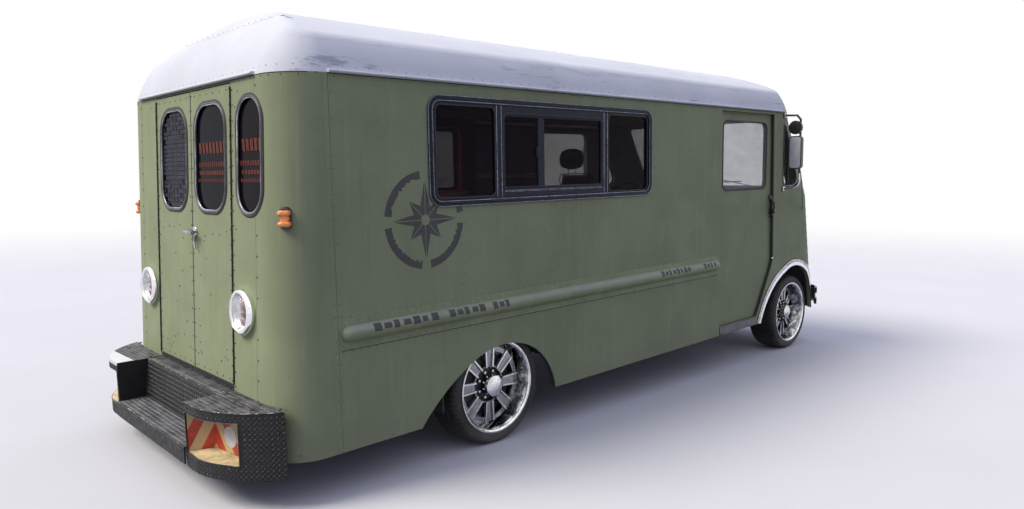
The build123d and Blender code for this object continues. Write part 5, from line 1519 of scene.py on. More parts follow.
@dataclass
class StepBumper(Assembly):
    """Chequered rear step with its two hollow towers and their striped pockets."""

    tread_z: float = 270.0
    tread_x: Flat = (-262, -92)
    ledge_z: float = 508.0
    ledge_x: float = -66
    tower_y: float = 555.0
    tower_x: float = -248
    tower_end: Flat = (38, -1098)
    tower_top: float = 512.0
    tower_foot: float = 168.0
    pocket: tuple[Flat, ...] = ((-240, 563), (-113, 612), (-83, 862), (-78, 955))
    pocket_floor: tuple[Flat, ...] = (
        (-238, 566), (-116, 616), (-87, 862), (-84, 950), (-150, 950),
        (-196, 866), (-236, 760), (-243, 700))
    pocket_z: Flat = (246, 460)
    pitch: float = 27.0

    def build(self) -> None:
        """Makes and dresses all of it."""
        self.dress("tread_top", "rear_bumper_step")
        self.dress("tread", "rear_bumper_towers")
        self.lozenges()
        self.edges()
        self.white_corner()
        self.pockets()
        self.threshold()

    @staticmethod
    def lozenge(mesh: Mesh, spot: Vector, along: Vector, out: Vector, size: float) -> None:
        """Adds one raised lozenge of the chequer pattern."""
        across = along.cross(out)
        low = [spot + along * (a * size) + across * (b * size) - out * 0.3 for a, b in (
            (-12, 0), (-5, -3.4), (5, -3.4), (12, 0), (5, 3.4), (-5, 3.4))]
        high = [spot + along * (a * size) + out * 1.9 for a in (-6.5, 6.5)]
        mesh.add(low + high, ((0, 1, 6), (1, 2, 7, 6), (2, 3, 7), (3, 4, 7), (4, 5, 6, 7), (5, 0,
            6)))

    def field(self, mesh: Mesh, place: Placer, width: float, height: float) -> None:
        """Covers a face with lozenges that alternate in direction.

        Args:
            mesh: Where they go.
            place: Gives the spot, the direction across and the outward one from u and v.
            width: Extent in u.
            height: Extent in v.
        """
        half = self.pitch / 2
        for j in range(int((height - 8) / half)):
            u = 9 + half * (j % 2)
            while u < width - 8:
                found = place(u, 9 + j * half)
                if found is not None:
                    spot, side, out = found
                    rise = out.cross(side).normalized()
                    along = (side + rise * (1 if j % 2 else -1)).normalized()
                    self.lozenge(mesh, spot, along, out, 0.92)
                u += self.pitch

    @staticmethod
    def sheet(origin: Sequence[float], side: Vector, climb: Vector, out: Vector) -> Placer:
        """Gives what places lozenges on a flat sheet, across it and up it."""
        return lambda u, v: (Vector(origin) + side * u + climb * v, side, out)

    def lozenges(self) -> None:
        """Covers the tread, riser, ledge and towers."""
        mesh, towers, one = Mesh(), Mesh(), Mesh()
        (x0, x1), y, wide = self.tread_x, -self.tower_y, 2 * self.tower_y
        self.field(mesh, self.sheet((x0, y, self.tread_z), ACROSS, AHEAD, UP), wide, x1 - x0)
        self.field(mesh, self.sheet((self.ledge_x, y, self.ledge_z), ACROSS, AHEAD, UP), wide, 48)
        self.put(mesh, "step_lozenges", "lozenge", "tread_plate")
        low, high = Vector((x1, y, self.tread_z)), Vector((self.ledge_x, y, self.ledge_z))
        climb = (high - low).normalized()
        self.field(towers, self.sheet(low, ACROSS, climb, Vector((-climb.z, 0, climb.x))), wide,
                   (high - low).length)
        length = sum(math.dist(a, b) for a, b in pairs(self.plan()))
        self.field(one, self.tower_wall, length, self.tower_top - self.tower_foot)
        self.field(one, self.tower_lid, 560, 330)
        self.field(one, self.sheet((-240, y, self.tower_foot), AHEAD, UP, ACROSS), 200,
                   self.tread_z - self.tower_foot + 1)
        towers.join(one)
        towers.join(one.mirrored())
        self.put(towers, "tower_lozenges", "tower_lozenge", "black_steel")

    def plan(self) -> list[Flat]:
        """Gives the right tower's outer outline, from its inner corner round to the body."""
        bend = arc_points((self.tower_x, -700), (-160, -925), self.tower_end, 40)
        return [(self.tower_x, -self.tower_y)] + bend

    def tower_wall(self, u: float, v: float) -> Optional[Trio]:
        """Places a lozenge on the tower's curved face, clear of the pocket.

        Args:
            u: How far along the tower's plan.
            v: Height over the tower's foot.

        Returns:
            The spot, the way along and the outward direction, or nothing.
        """
        z = self.tower_foot + v
        for a, b in pairs(self.plan()):
            run = math.dist(a, b)
            if u <= run:
                x, y = a[0] + (b[0] - a[0]) * (u / run), a[1] + (b[1] - a[1]) * (u / run)
                in_pocket = -968 < y and self.pocket_z[0] - 12 < z < self.pocket_z[1] + 12
                if in_pocket or z > self.tower_top - 9:
                    return None
                side = Vector((b[0] - a[0], b[1] - a[1], 0)).normalized()
                return Vector((x, y, z)), side, Vector((side.y, -side.x, 0)).normalized()
            u -= run
        return None

    def tower_lid(self, u: float, v: float) -> Optional[Trio]:
        """Places a lozenge on the tower's flat top."""
        x, y = self.tower_x + v, -self.tower_y - u
        edge = next((p[0] for p in self.plan() if p[1] <= y), self.tower_end[0])
        if x < edge + 13 or x > rear_x(y, self.tower_top) - 14 or y < -1085:
            return None
        return Vector((x, y, self.tower_top)), ACROSS, UP

    def edges(self) -> None:
        """Worn folded edges of the step and towers, with bolts."""
        mesh, bolts = Mesh(), Mesh()
        y = self.tower_y - 1
        for x, z in ((self.tread_x[0] + 3.4, self.tread_z), (self.ledge_x + 2, self.ledge_z)):
            mesh.strip([(x, -y, z - 0.4), (x, y, z - 0.4)], UP, 6, 2.4)
        for side, _ in SIDES:
            mesh.strip([(x + 2, -side * y, self.tower_top - 0.4) for x, y in self.plan()],
                       UP, 5, 2)
            for x, y in ((-40, 590), (-60, 950), (40, 1050)):
                bolts.disc((x, side * y, self.tower_top), UP,
                           ((11, -0.5), (11, 3), (9, 5), (0, 5.5)), 6)
            for z in (208, 486):
                bolts.disc((-30, side * 1027, z), Vector((-0.62, side * 0.78, 0)),
                           ((9, -1), (9, 4), (6, 6), (0, 6.5)), 6)
        self.put(mesh, "step_edges", "worn_edge", "tread_plate")
        self.put(bolts, "step_bolts", "black", "tread_plate")

    def white_corner(self) -> None:
        """White paint on the outer corner of the left tower's top and down its edge."""
        curve = [(x + 1, -y) for x, y in self.plan() if y > -925]
        mesh = Mesh()
        low, high, lid = self.tower_top - 16, self.tower_top + 2.4, self.tower_top + 0.2
        mesh.plate([(x, y, lid) for x, y in [(self.tower_x + 98, self.tower_y + 1)] + curve],
                   UP, 2.4)
        for (xa, ya), (xb, yb) in pairs(curve):
            out = Vector((ya - yb, xb - xa, 0)).normalized()
            mesh.plate([(xa - 1, ya, low), (xb - 1, yb, low), (xb - 1, yb, high),
                        (xa - 1, ya, high)], out, 0.8)
        self.put(mesh, "tower_white_corner", "oval", "white_paint")

    def pockets(self) -> None:
        """Striped linings, cream floor and a blank oval in each tower's pocket."""
        stripes, cream, ovals, rims, ends = Mesh(), Mesh(), Mesh(), Mesh(), Mesh()
        z0, z1 = self.pocket_z
        for side, _ in SIDES:
            walls = [Vector((x, side * y, 0)) for x, y in self.pocket]
            for i, (a, b) in enumerate(pairs(walls)):
                run = (b - a).normalized()
                out = Vector((-abs(run.y), side * run.x, 0)).normalized()
                corners = (a + UP * (z0 + 1), b + UP * (z0 + 1), b + UP * (z1 - 1),
                    a + UP * (z1 - 1))
                (stripes if i < 2 else ends).plate([p + out * 0.4 for p in corners], out, 1.2)
                if i == 1:
                    mid = a.lerp(b, 0.58) + UP * 334 + out * 1.8
                    ovals.plate([mid + run * (58 * c) + UP * (55 * s) for c, s in circle(1, 40)],
                                out, 1.4)
            cream.plate([(x, side * y, z0 + 0.4) for x, y in self.pocket_floor], UP, 1.2)
            line = [(self.tower_x, -566)] + [p for p in self.plan() if -962 < p[1] < -562]
            mouth = [(x - 0.5, -side * y, z0 - 1) for x, y in line]
            mouth += [(x - 0.5, -side * y, z1 + 1) for x, y in line[::-1]]
            rims.tube(mouth, 3.2, 6, closed=True)
        self.put(stripes, "pocket_stripes", "stripes", "black_steel")
        self.put(ends, "pocket_ends", "red_panel", "black_steel")
        self.put(cream, "pocket_floors", "cream", "black_steel")
        self.put(ovals, "pocket_ovals", "oval", "white_paint")
        self.put(rims, "pocket_rims", "black", "black_steel")

    def threshold(self) -> None:
        """Ribbed bright strip on the ledge, at the foot of the rear doors."""
        mesh, dark, teeth = Mesh(), Mesh(), Mesh()
        x, z = rear_x(0, self.ledge_z), self.ledge_z
        mesh.box(x - 34, x - 1, -548, 548, z, z + 3, 1)
        for i in range(4):
            mesh.tube([(x - 30 + 8 * i, y, z + 3) for y in (-546, 546)], 2, 6)
        self.put(mesh, "door_threshold", "tread_top", "floor_metal")
        dark.box(x - 1.5, x + 9, -549, 549, z + 1, 521)
        dark.box(x - 4.5, x + 9, -549, 549, 521, 530)
        for y in spaced(-540, 540, 22):
            teeth.box(x - 6, x - 1, y - 4.5, y + 4.5, z + 1, 520, 1)
        self.put(dark, "door_foot_seal", "rubber", "black_plastic")
        self.put(teeth, "threshold_teeth", "old_chrome", "floor_metal")


# Side fittings

@dataclass
class SideWindows(Assembly):
    """Framed side windows with their rails, the slider, and the cab's side panes."""

    window: Box4 = (955, 3000, 1487, 2079)
    panes: tuple[Box4, ...] = ((997, 1440, 1523, 2040), (1512, 2444, 1556, 2008),
                               (2516, 2962, 1516, 2040))
    door: Box4 = (4092, 4842, 1472, 2056)
    stile_x: float = 1843.0
    quarter: tuple[Flat, ...] = (
        (5150, 1485), (5190, 1482), (5300, 1482), (5345, 1492), (5374, 1520),
        (5384, 1560), (5370, 1606), (5142, 2036), (5134, 2046), (5120, 2050),
        (5110, 2044), (5110, 2020), (5110, 1560), (5114, 1525), (5128, 1500))

    def build(self) -> None:
        """Makes and dresses all of it."""
        self.dress("frame", "side_window_frames")
        self.dress("glass_dark", "side_glass")
        self.dress("glass_clear", "sliding_door_glass_right", "sliding_door_glass_left")
        self.rails()
        self.slider()
        self.door_rubbers()
        self.quarter_rubbers()

    def rails(self) -> None:
        """Bright edge lines and the second rail of the frames."""
        bright, rail, inner = Mesh(), Mesh(), Mesh()
        z0, z1 = self.window[2:]
        for side, out in FLANKS:
            y = side * (HALF_W + 10)
            for grow, size, target in ((13, 2, bright), (-15, 2.4, bright), (-4, 4.5, rail)):
                target.tube(upright(y, grown(self.window, grow, 70)), size, 8, closed=True)
            for pane in self.panes:
                path = upright(side * (HALF_W + 1.5), grown(pane, 3, 37, 6))
                inner.tube(path, 4, 8, closed=True)
            y = side * (HALF_W + 2)
            for x in (1456, 1494, 2462, 2498):
                bright.strip([(x, y, z0 + 24), (x, y, z1 - 24)], out, 5, 3)
        self.put(bright, "side_window_bright_lines", "edge", "black_frame")
        self.put(rail, "side_window_rails", "frame", "black_frame")
        self.put(inner, "side_window_pane_seals", "rubber", "black_frame")

    def slider(self) -> None:
        """The middle pane's own thin frame, its meeting stile, its sill track and its latch."""
        bars, track = Mesh(), Mesh()
        a, b, low, high = self.panes[1]
        x, mid = self.stile_x, (low + high) / 2
        for side, out in FLANKS:
            path = upright(side * (HALF_W - 3), grown(self.panes[1], -8, 30, 5))
            bars.tube(path, 7, 8, closed=True)
            bars.box(x - 30, x + 30, side * (HALF_W - 12), side * (HALF_W - 1), low + 4, high - 4,
                3)
            bars.box(x - 48, x - 33, side * (HALF_W - 8), side * (HALF_W + 4), mid - 34, mid + 34,
                3)
            y = side * (HALF_W + 1)
            for z in (low - 14, low - 7):
                track.strip([(a + 6, y, z), (b - 6, y, z)], out, 4, 3.5)
        self.put(bars, "side_window_sliders", "frame", "black_frame")
        self.put(track, "side_window_tracks", "edge", "black_frame")

    def door_rubbers(self) -> None:
        """Rubber round the sliding doors' windows."""
        for side, word in SIDES:
            mesh = Mesh()
            path = upright(side * 1091, grown(self.door, 3, 57))
            mesh.tube(path, 8, closed=True, flat=0.6, up=ACROSS * side)
            self.put(mesh, "door_window_rubber_" + word, "rubber", "black_plastic",
                     "sliding_door_" + word)

    def quarter_rubbers(self) -> None:
        """Rubber round the pointed windows, with a bright insert and the vent's post."""
        rubber, bright = Mesh(), Mesh()
        for side, out in FLANKS:
            path = upright(side * (HALF_W + 0.5), self.quarter)
            rubber.tube(path, 9, 8, closed=True, flat=0.6, up=out)
            bright.tube(upright(side * (HALF_W + 5.5), self.quarter), 2.2, 6, closed=True)
            rubber.tube(upright(side * (HALF_W - 6), ((5218, 1490), (5218, 1880))), 7, 8)
        self.put(rubber, "quarter_window_rubbers", "rubber", "black_plastic")
        self.put(bright, "quarter_window_inserts", "edge", "chrome")


@dataclass
class SideDoors(Assembly):
    """What the sliding doors carry outside and in, and the strips along their openings."""

    handle: Box4 = (4892, 4932, 1200, 1384)
    skin_y: float = 1101.0
    opening: tuple[Flat, ...] = ((4656, 302), (4728, 407), (4818, 557),
                                 (4926, 738), (4954, 807), (4920, 2138))

    def build(self) -> None:
        """Makes and dresses all of it."""
        for side, word in SIDES:
            self.lock(side, word)
        self.openings()

    def lock(self, side: int, word: str) -> None:
        """Black plate, round boss, knob and grip of the door's lock, and the pull inside.

        Args:
            side: RIGHT or LEFT.
            word: The side in names.
        """
        x0, x1, z0, z1 = self.handle
        x, y, out = (x0 + x1) / 2, side * self.skin_y, ACROSS * side
        mesh, inside = Mesh(), Mesh()
        mesh.plate(upright(y + side * 0.2, grown(self.handle, 1, 18, 6)), out, 1.6)
        mesh.disc((x, y, z1 - 2), out, ((25, 0), (25, 9), (21, 14), (12, 16), (10, 20), (0, 21)))
        mesh.disc((x, y, z0 + 62), out, ((16, 0), (13, 22), (13, 30), (22, 36), (24, 46), (20, 54),
                                         (0, 57)))
        grip = ((2, z1 - 30), (26, z1 - 32), (43, z1 - 44), (46, z1 - 70), (46, z0 + 70),
                (43, z0 + 44), (26, z0 + 32), (2, z0 + 30))
        mesh.tube([(x, y + side * d, z) for d, z in grip], 11.5)
        door = "sliding_door_" + word
        self.put(mesh, "door_lock_" + word, "black", "black_plastic", door)
        pull = ((4120, 1052), (4120, 1030), (4700, 1030), (4700, 1052))
        inside.tube([(x, side * y, 1330) for x, y in pull], 11)
        self.put(inside, "door_pull_" + word, "dull_chrome", "chrome", door)

    def openings(self) -> None:
        """Ribbed strips, dark seals that are also painted shade in the doors' gaps, bright latch
        tips and upper tracks of the side doorways.
        """
        base, ribs, seals_and_shade, latch, tracks = Mesh(), Mesh(), Mesh(), Mesh(), Mesh()
        for side, out in FLANKS:
            y = side * HALF_W
            base.box(4018, 4646, y, y + side * 5, 229, 299, 1.5)
            for z in (240, 256, 272, 288):
                ribs.strip([(x, y + side * 4.4, z) for x in (4022, 4641)], out, 5, 4)
            y = side * (HALF_W - 13)
            # Black rubber along the doorway's front and rear edges: seals, and painted shade in the
            # gaps beside the door.
            seals_and_shade.tube(upright(y, self.opening, -3), 11.5, flat=0.4, up=AHEAD)
            seals_and_shade.tube([(4008, y, 300), (4008, y, 2136)], 6, 8)
            latch.disc((4942, side * (HALF_W - 6), 815), out, ((9, -6), (9, 7), (6, 10), (0, 11)),
                14)
            tracks.box(3130, 4990, side * 1041, side * 1022, 2120, 2148, 2)
        self.put(base, "sill_strip_plates", "black", "black_steel")
        self.put(ribs, "sill_strip_ribs", "edge", "chrome")
        self.put(seals_and_shade, "doorway_seals_and_shade", "rubber", "black_plastic")
        self.put(latch, "door_latch_tips", "chrome", "chrome")
        self.put(tracks, "door_tracks", "alloy", "floor_metal")


@dataclass
class Trims(Assembly):
    """Bright wheel-opening strips with their rope edge, and the mirrors."""

    mirror_x: float = 5090.0
    mirror_y: Flat = (1192, 1313)
    mirror_z: Flat = (1640, 1942)
    foot_y: float = 1133.0
    arcs: tuple[tuple[Flat, Flat, Flat], ...] = (
        ((4660, 100), (4885, 504), (5192, 689)),
        ((5192, 689), (5431, 731), (5677, 633)),
        ((5677, 633), (5780, 470), (5820, 100)))

    def build(self) -> None:
        """Makes and dresses all of it."""
        self.dress("chrome", "arch_trims")
        self.dress("black", "mirrors")
        self.rope()
        self.mirror_faces()

    def rope(self) -> None:
        """Beaded rope, bright band and dark joint along each front wheel opening."""
        line = [p for arc in self.arcs for p in arc_points(*arc, 60)[:-1]]
        beads, joint, band = Mesh(), Mesh(), Mesh()
        for side, _ in SIDES:
            along, last = 0, line[0]
            edges: list[Place] = []
            middle: list[Place] = []
            for (x0, z0), (x, z), (x1, z1) in zip(line, line[1:], line[2:]):
                if z < SKIRT_Z + 6:
                    last = (x, z)
                    continue
                along += math.dist(last, (x, z))
                last = (x, z)
                run = math.dist((x0, z0), (x1, z1))
                nx, nz = -(z1 - z0) / run, (x1 - x0) / run
                spot, inner, edge = (self.on_cab(x + nx * off, z + nz * off, side)
                                     for off in (24, 13, 33))
                if spot is None:
                    continue
                if along > 9:
                    along = 0
                    beads.disc(spot[0] + spot[1] * 8.4, spot[1],
                               ((4.2, -2), (4.2, 0.6), (2.8, 2.6), (0, 3.4)), 6)
                middle += [inner] if inner else []
                edges += [edge] if edge else []
            joint.strip(*zip(*edges), 5, 3)
            band.strip(*zip(*middle), 30, 8.4)
        self.put(band, "arch_trim_bands", "old_chrome", "chrome")
        self.put(beads, "arch_trim_beads", "chrome", "chrome")
        self.put(joint, "arch_trim_joint", "rubber", "black_plastic")

    @staticmethod
    def on_cab(x: float, z: float, side: int) -> Optional[Place]:
        """Gives the spot and outward direction on the cab's side or its rounded corner."""
        back = screen_x(z) - x
        if back < 2:
            return None
        a = max(CORNER_R - back, 0)
        b = math.sqrt(CORNER_R ** 2 - a ** 2)
        y = HALF_W - CORNER_R + b
        return Vector((x, side * y, z)), Vector((a, side * b, 0)).normalized()

    def mirror_faces(self) -> None:
        """Mirror glass, bright brackets, the thin stay and the head's rim."""
        glass, bright, stay, rounds = Mesh(), Mesh(), Mesh(), Mesh()
        x, foot = self.mirror_x, self.foot_y
        for side, out in FLANKS:
            head = (*sorted(side * y for y in self.mirror_y), *self.mirror_z)
            # Mirror glass, part metal and part pale diffuse colour that is a painted reflection.
            glass.plate([(x - 14.2, y, z) for y, z in grown(head, -9, 35)], BACK, 1)
            rounds.disc((x - 10, side * 1244.5, 2019), BACK, ((55, 0), (54, 3), (30, 6), (0, 7.5)),
                        30)
            rounds.tube([(x - 14, y, z) for y, z in grown(head, -5, 35)], 4.4, 8, closed=True)
            loop = ((1280.5, 1600), (1280.5, 1522), (1266.5, 1492), (1220.5, 1464), (foot, 1456))
            bright.tube([(x + 26, side * y, z) for y, z in loop], 11.6, 12)
            for z in (2137, 1456):
                bright.disc((x + 26, side * foot, z), out, ((22, 0), (21, 5), (13, 8)), 20)
                for dz in (-18, 18):
                    bright.disc((x + 8, side * foot, z + dz), out, ((5, 0), (4, 3), (0, 4)), 8)
            stay.tube([(x + 26, side * 1289, 1621), (x + 34, side * 1306, 1500),
                       on_screen(side * 1128, 1250, -260)], 4.5, 8)
        self.put(glass, "mirror_glass", "mirror_painted_reflection", "chrome")
        self.put(rounds, "mirror_rounds", "black", "black_plastic")
        self.put(bright, "mirror_brackets", "dull_chrome", "chrome")
        self.put(stay, "mirror_stays", "black", "black_plastic")


@dataclass
class FrontEnd(Assembly):
    """Grille, windscreen rubber, wipers, front bumper and nose details."""

    screen_half: float = 870.0
    screen_z: Flat = (1462, 2112)
    cowl_z: float = 1400.0

    def build(self) -> None:
        """Makes and dresses all of it."""
        self.dress("dull_chrome", "grille")
        self.dress("black", "front_bumper")
        self.dress("glass_clear", "windscreen_glass")
        self.screen_rubbers()
        self.wipers()
        self.grille_mesh()
        self.bumper_bolts()
        self.nose_lines()

    def screen_rubbers(self) -> None:
        """Rubber and bright insert round both halves of the windscreen."""
        rubber, bright = Mesh(), Mesh()
        for y0, y1 in ((-self.screen_half, -22), (22, self.screen_half)):
            path = [on_screen(y, z, 0.5) for y, z in grown((y0, y1, *self.screen_z), 5, 60)]
            rubber.tube(path, 12, closed=True, flat=0.6, up=SCREEN_OUT)
            bright.tube([Vector(p) + SCREEN_OUT * 7 for p in path], 2.2, 6, closed=True)
        self.put(rubber, "windscreen_rubbers", "rubber", "black_plastic")
        self.put(bright, "windscreen_inserts", "edge", "chrome")

    def wipers(self) -> None:
        """Two wipers parked low on the windscreen."""
        mesh, out = Mesh(), SCREEN_OUT
        for side, _ in SIDES:
            foot = Vector(on_screen(side * 560, 1428)) + out * 2
            tip = Vector(on_screen(side * 120, 1520)) + out * 16
            mesh.disc(foot, out, ((17, -2), (17, 10), (12, 16), (0, 18)), 16)
            mesh.tube([foot + out * 12, foot.lerp(tip, 0.5) + out * 16, tip], 4.5, 8)
            mesh.tube([Vector(on_screen(side * y, z)) + out * 9
                       for y, z in ((360, 1508), (60, 1496))], 6, 6)
        self.put(mesh, "wipers", "plastic", "black_plastic")

    def grille_mesh(self) -> None:
        """Dark mesh and plate behind the grille's bars."""
        mesh = Mesh()
        for y in spaced(-520, 520, 26):
            mesh.tube([on_screen(y, z, -40) for z in (660, 940)], 2.5, 6)
        for z in spaced(665, 935, 26):
            mesh.tube([on_screen(y, z, -42) for y in (-530, 530)], 2.5, 6)
        mesh.box(screen_x(800) - 60, screen_x(800) - 50, -535, 535, 655, 945)
        self.put(mesh, "grille_mesh", "chassis", "black_steel")

    def bumper_bolts(self) -> None:
        """Round-headed bolts of the front bumper."""
        bolts = Mesh()
        for y in (-430, -380, 430, 380):
            bolts.disc((6055, y, 403), AHEAD, ((13, -4), (13, -1.5), (9, -0.4), (0, -0.1)), 16)
        self.put(bolts, "bumper_bolts", "dull_chrome", "chrome")

    def nose_lines(self) -> None:
        """Cowl seam with its rivets, and indicator lamps on the nose."""
        seam, rivets, lamps, rims = Mesh(), Mesh(), Mesh(), Mesh()
        seam.strip([on_screen(y, self.cowl_z) for y in (-885, 885)], NOSE_OUT, 6, 1.2)
        self.put(seam, "cowl_seam", "seam", "olive_paint")
        spots = [(y, self.cowl_z - 12) for y in spaced(-870, 870, 64)]
        spots += [(side * 872, z) for z in spaced(300, 1380, 72) for side, _ in SIDES]
        for y, z in spots:
            rivets.rivet(on_screen(y, z), NOSE_OUT, 4.5, 2)
        self.put(rivets, "nose_rivets", "rivet", "olive_paint")
        for y in (-760, 760):
            spot = on_screen(y, 1060)
            rims.disc(spot, NOSE_OUT, ((44, -1), (44, 8), (38, 12), (35, 8)), 28)
            lamps.disc(spot, NOSE_OUT, ((36, 6), (34, 16), (24, 23), (10, 26), (0, 27)), 28)
        self.put(rims, "indicator_rims", "chrome", "chrome")
        self.put(lamps, "indicator_lenses", "amber", "amber")


# Running gear

@dataclass
class Wheels(Assembly):
    """Grooved tyres, and what is fixed to the deep chrome wheels."""

    mid_y: float = 959.0
    pitches: int = 72
    # radius and offset along the tyre's section, from the outer bead to the middle
    wall: tuple[Flat, ...] = (
        (284, 107), (287, 118), (293, 125.5), (300, 128.4), (306, 128.8),
        (308, 127.2), (311, 127.2), (313, 129), (322, 128.9), (330, 127.8),
        (333, 126.2), (336, 126.9))
    shoulder: tuple[Flat, ...] = (
        (343, 123.8), (349, 119.2), (355, 111.5), (359.5, 101), (361.4, 88),
        (361.6, 69))
    crown: tuple[Flat, ...] = ((354, 66.5), (354, 58.5), (361.9, 56), (361.9, 27.5),
                               (354, 25), (354, 17.5), (361.9, 15))

    def build(self) -> None:
        """Makes and dresses all of it."""
        for end, axle_x in (("front_", FRONT_AXLE_X), ("rear_", REAR_AXLE_X)):
            for side, word in SIDES:
                self.dress("wheel_chrome", "wheel_" + end + word)
                self.tyre(end + word, axle_x, side)
                self.fittings(end + word, axle_x, side)

    def section(self) -> list[tuple[float, float, str]]:
        """Gives the tyre's section as radius, offset and kind, from the outer bead to the inner."""
        bands = (("wall", self.wall), ("shoulder", self.shoulder), ("crown", self.crown))
        rows = [(r, w, kind) for kind, points in bands for r, w in points]
        return rows + [(r, -w, kind) for r, w, kind in reversed(rows)]

    def tyre(self, name: str, axle_x: float, side: int) -> None:
        """Turns one tyre with ribs, grooves and shoulder slots, in place of its CAD node.

        Args:
            name: Place of the wheel.
            axle_x: Where its axle stands.
            side: RIGHT or LEFT.
        """
        mesh, rings, rows = Mesh(), [], self.section()
        step = math.tau / self.pitches
        for i in range(self.pitches):
            for share, deep in ((0, 0), (0.78, 0), (0.82, 1), (0.96, 1)):
                ring = []
                for k, (radius, width, kind) in enumerate(rows):
                    angle = (i + share) * step
                    if kind == "shoulder":
                        radius -= deep * 5.5
                    elif kind == "crown":
                        angle += width * 0.0006
                        if radius > 358 and (i + k // 3) % 2:
                            radius -= deep * 2.4
                    ring.append((axle_x + radius * math.cos(angle), side * (self.mid_y + width),
                                 TYRE_R + radius * math.sin(angle)))
                rings.append(ring)
        mesh.loft(rings, loop=True)
        made = self.put(mesh, "tyre_grooved_" + name, "tyre", "tyre", "wheel_" + name, Stand.ROAD,
            35)
        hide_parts("tyre_" + name)

    def fittings(self, name: str, axle_x: float, side: int) -> None:
        """Adds the nuts, dark hub rings, valve and brake disc of one wheel.

        Args:
            name: Place of the wheel.
            axle_x: Where its axle stands.
            side: RIGHT or LEFT.
        """
        out = ACROSS * side
        hub = Vector((axle_x, side * self.mid_y, TYRE_R))
        dark, nuts, rotor = Mesh(), Mesh(), Mesh()
        dark.disc(hub + out * 26.6, out, ((103, 0), (103, 1.6), (96, 3.2), (71, 3.2), (68, 2.6)),
            40)
        dark.disc(hub + out * 37, out, ((112, 3.2), (111, 6), (107.5, 6.4), (105, 3), (104, -8)),
                  48)
        for x, z in circle(86, 8, 0.5):
            nuts.disc(hub + out * 29 + AHEAD * x + UP * z, out,
                      ((11.5, 0), (11.5, 15), (9.5, 19), (5, 20.5), (0, 21)), 6)
        x, z = circle(228, 16, 5)[0]
        nuts.disc(hub + out * 46 + AHEAD * x + UP * z, out,
                  ((6.5, -4), (6.5, 4), (4, 6), (4, 28), (4.8, 28), (4.6, 34), (0, 34)), 10)
        rotor.disc(hub, out, ((60, 9.2), (60, 12.8), (112, 12.8), (118, 12.6), (196, 12.6),
                              (197, 11.8), (197, 10.2), (196, 9.4), (60, 9.2)), 56)
        for mesh, start, finish, slot, smooth in (
                (dark, "hub_ring_", "iron_hub", "black_steel", 40),
                (nuts, "wheel_nuts_", "dull_chrome", "chrome", 30),
                (rotor, "brake_disc_", "iron", "iron", 40)):
            self.put(mesh, start + name, finish, slot, "wheel_" + name, Stand.ROAD, smooth)


@dataclass
class Underbody(Assembly):
    """Finishes of the chassis, axles and pipework, with their bolts and brackets."""

    spring_y: Flat = (478, 552)
    pipe: Flat = (610, 402)

    def build(self) -> None:
        """Makes and dresses all of it."""
        self.dress("chassis", "chassis_frame", "fuel_tank", "leaf_springs")
        self.dress("iron", "rear_axle", "front_axle", "knuckle_right", "knuckle_left",
                   "drive_shaft", "exhaust", "engine_block")
        self.springs()
        self.frame_bolts()
        self.engine()
        self.exhaust_clamps()
        self.mud_flaps()

    def springs(self) -> None:
        """U-bolts and clips on the leaf springs."""
        mesh = Mesh()
        for x, low, high in ((REAR_AXLE_X, 300, 465), (FRONT_AXLE_X, 310, 460)):
            for side, _ in SIDES:
                ys = [side * y for y in self.spring_y]
                for leg in (x - 50, x + 50):
                    for y in ys:
                        mesh.tube([(leg, y, low), (leg, y, high)], 7, 8)
                        mesh.disc((leg, y, low + 6), UP, ((14, 0), (14, 13), (0, 13)), 6)
                    mesh.tube([(leg, y, high) for y in ys], 7, 8)
                mesh.box(x - 64, x + 64, side * 470, side * 560, low - 4, low + 8, 2)
        self.put(mesh, "spring_bolts", "iron", "iron", stand=Stand.ROAD)

    def frame_bolts(self) -> None:
        """Rows of bolts along the frame rails at each crossmember."""
        mesh = Mesh()
        for x in (120, 900, 2150, 3000, 3850, 4600, 5420):
            for side, out in FLANKS:
                for dx in (14, 46):
                    for z in (360, 407, 454):
                        mesh.disc((x + dx, side * 430, z), out,
                                  ((11, -0.5), (11, 7), (8, 9), (0, 9.5)), 6)
        self.put(mesh, "frame_bolts", "iron", "iron")

    def engine(self) -> None:
        """Ribs, sump and pulleys on the engine."""
        mesh = Mesh()
        for x in spaced(4730, 5270, 60):
            mesh.box(x - 9, x + 9, -296, 296, 380, 820, 3)
        mesh.box(4760, 5240, -200, 200, 262, 302, 12)
        mesh.disc((5300, 0, 420), AHEAD, ((105, 0), (105, 8), (96, 16), (105, 24), (105, 34),
                                          (30, 36), (0, 36)), 40)
        for y, z, r in ((-170, 640, 60), (150, 620, 70)):
            mesh.disc((5300, y, z), AHEAD, ((r, 0), (r, 26), (r - 10, 30), (0, 30)), 32)
        self.put(mesh, "engine_ribs", "iron", "iron")

    def exhaust_clamps(self) -> None:
        """Clamps and end seams of the silencer."""
        mesh = Mesh()
        for x in (2500, 2516, 3134, 3150):
            mesh.disc((x - 4, *self.pipe), AHEAD, ((84, 0), (87, 1), (87, 7), (84, 8)), 40)
        for x in (2380, 3250, 900, 4000):
            mesh.disc((x, *self.pipe), AHEAD, ((27, 0), (32, 1), (32, 24), (27, 25)), 28)
            mesh.disc((x + 12, 610, 434), UP, ((8, -4), (8, 10), (0, 12)), 6)
        self.put(mesh, "exhaust_clamps", "iron", "iron")

    def mud_flaps(self) -> None:
        """Rubber flaps behind the rear wheels, under the wheel boxes."""
        mesh = Mesh()
        for side, _ in SIDES:
            mesh.box(1028, 1038, side * 830, side * 1085, 262, 520, 2)
        self.put(mesh, "mud_flaps", "rubber", "black_plastic")


# Inside

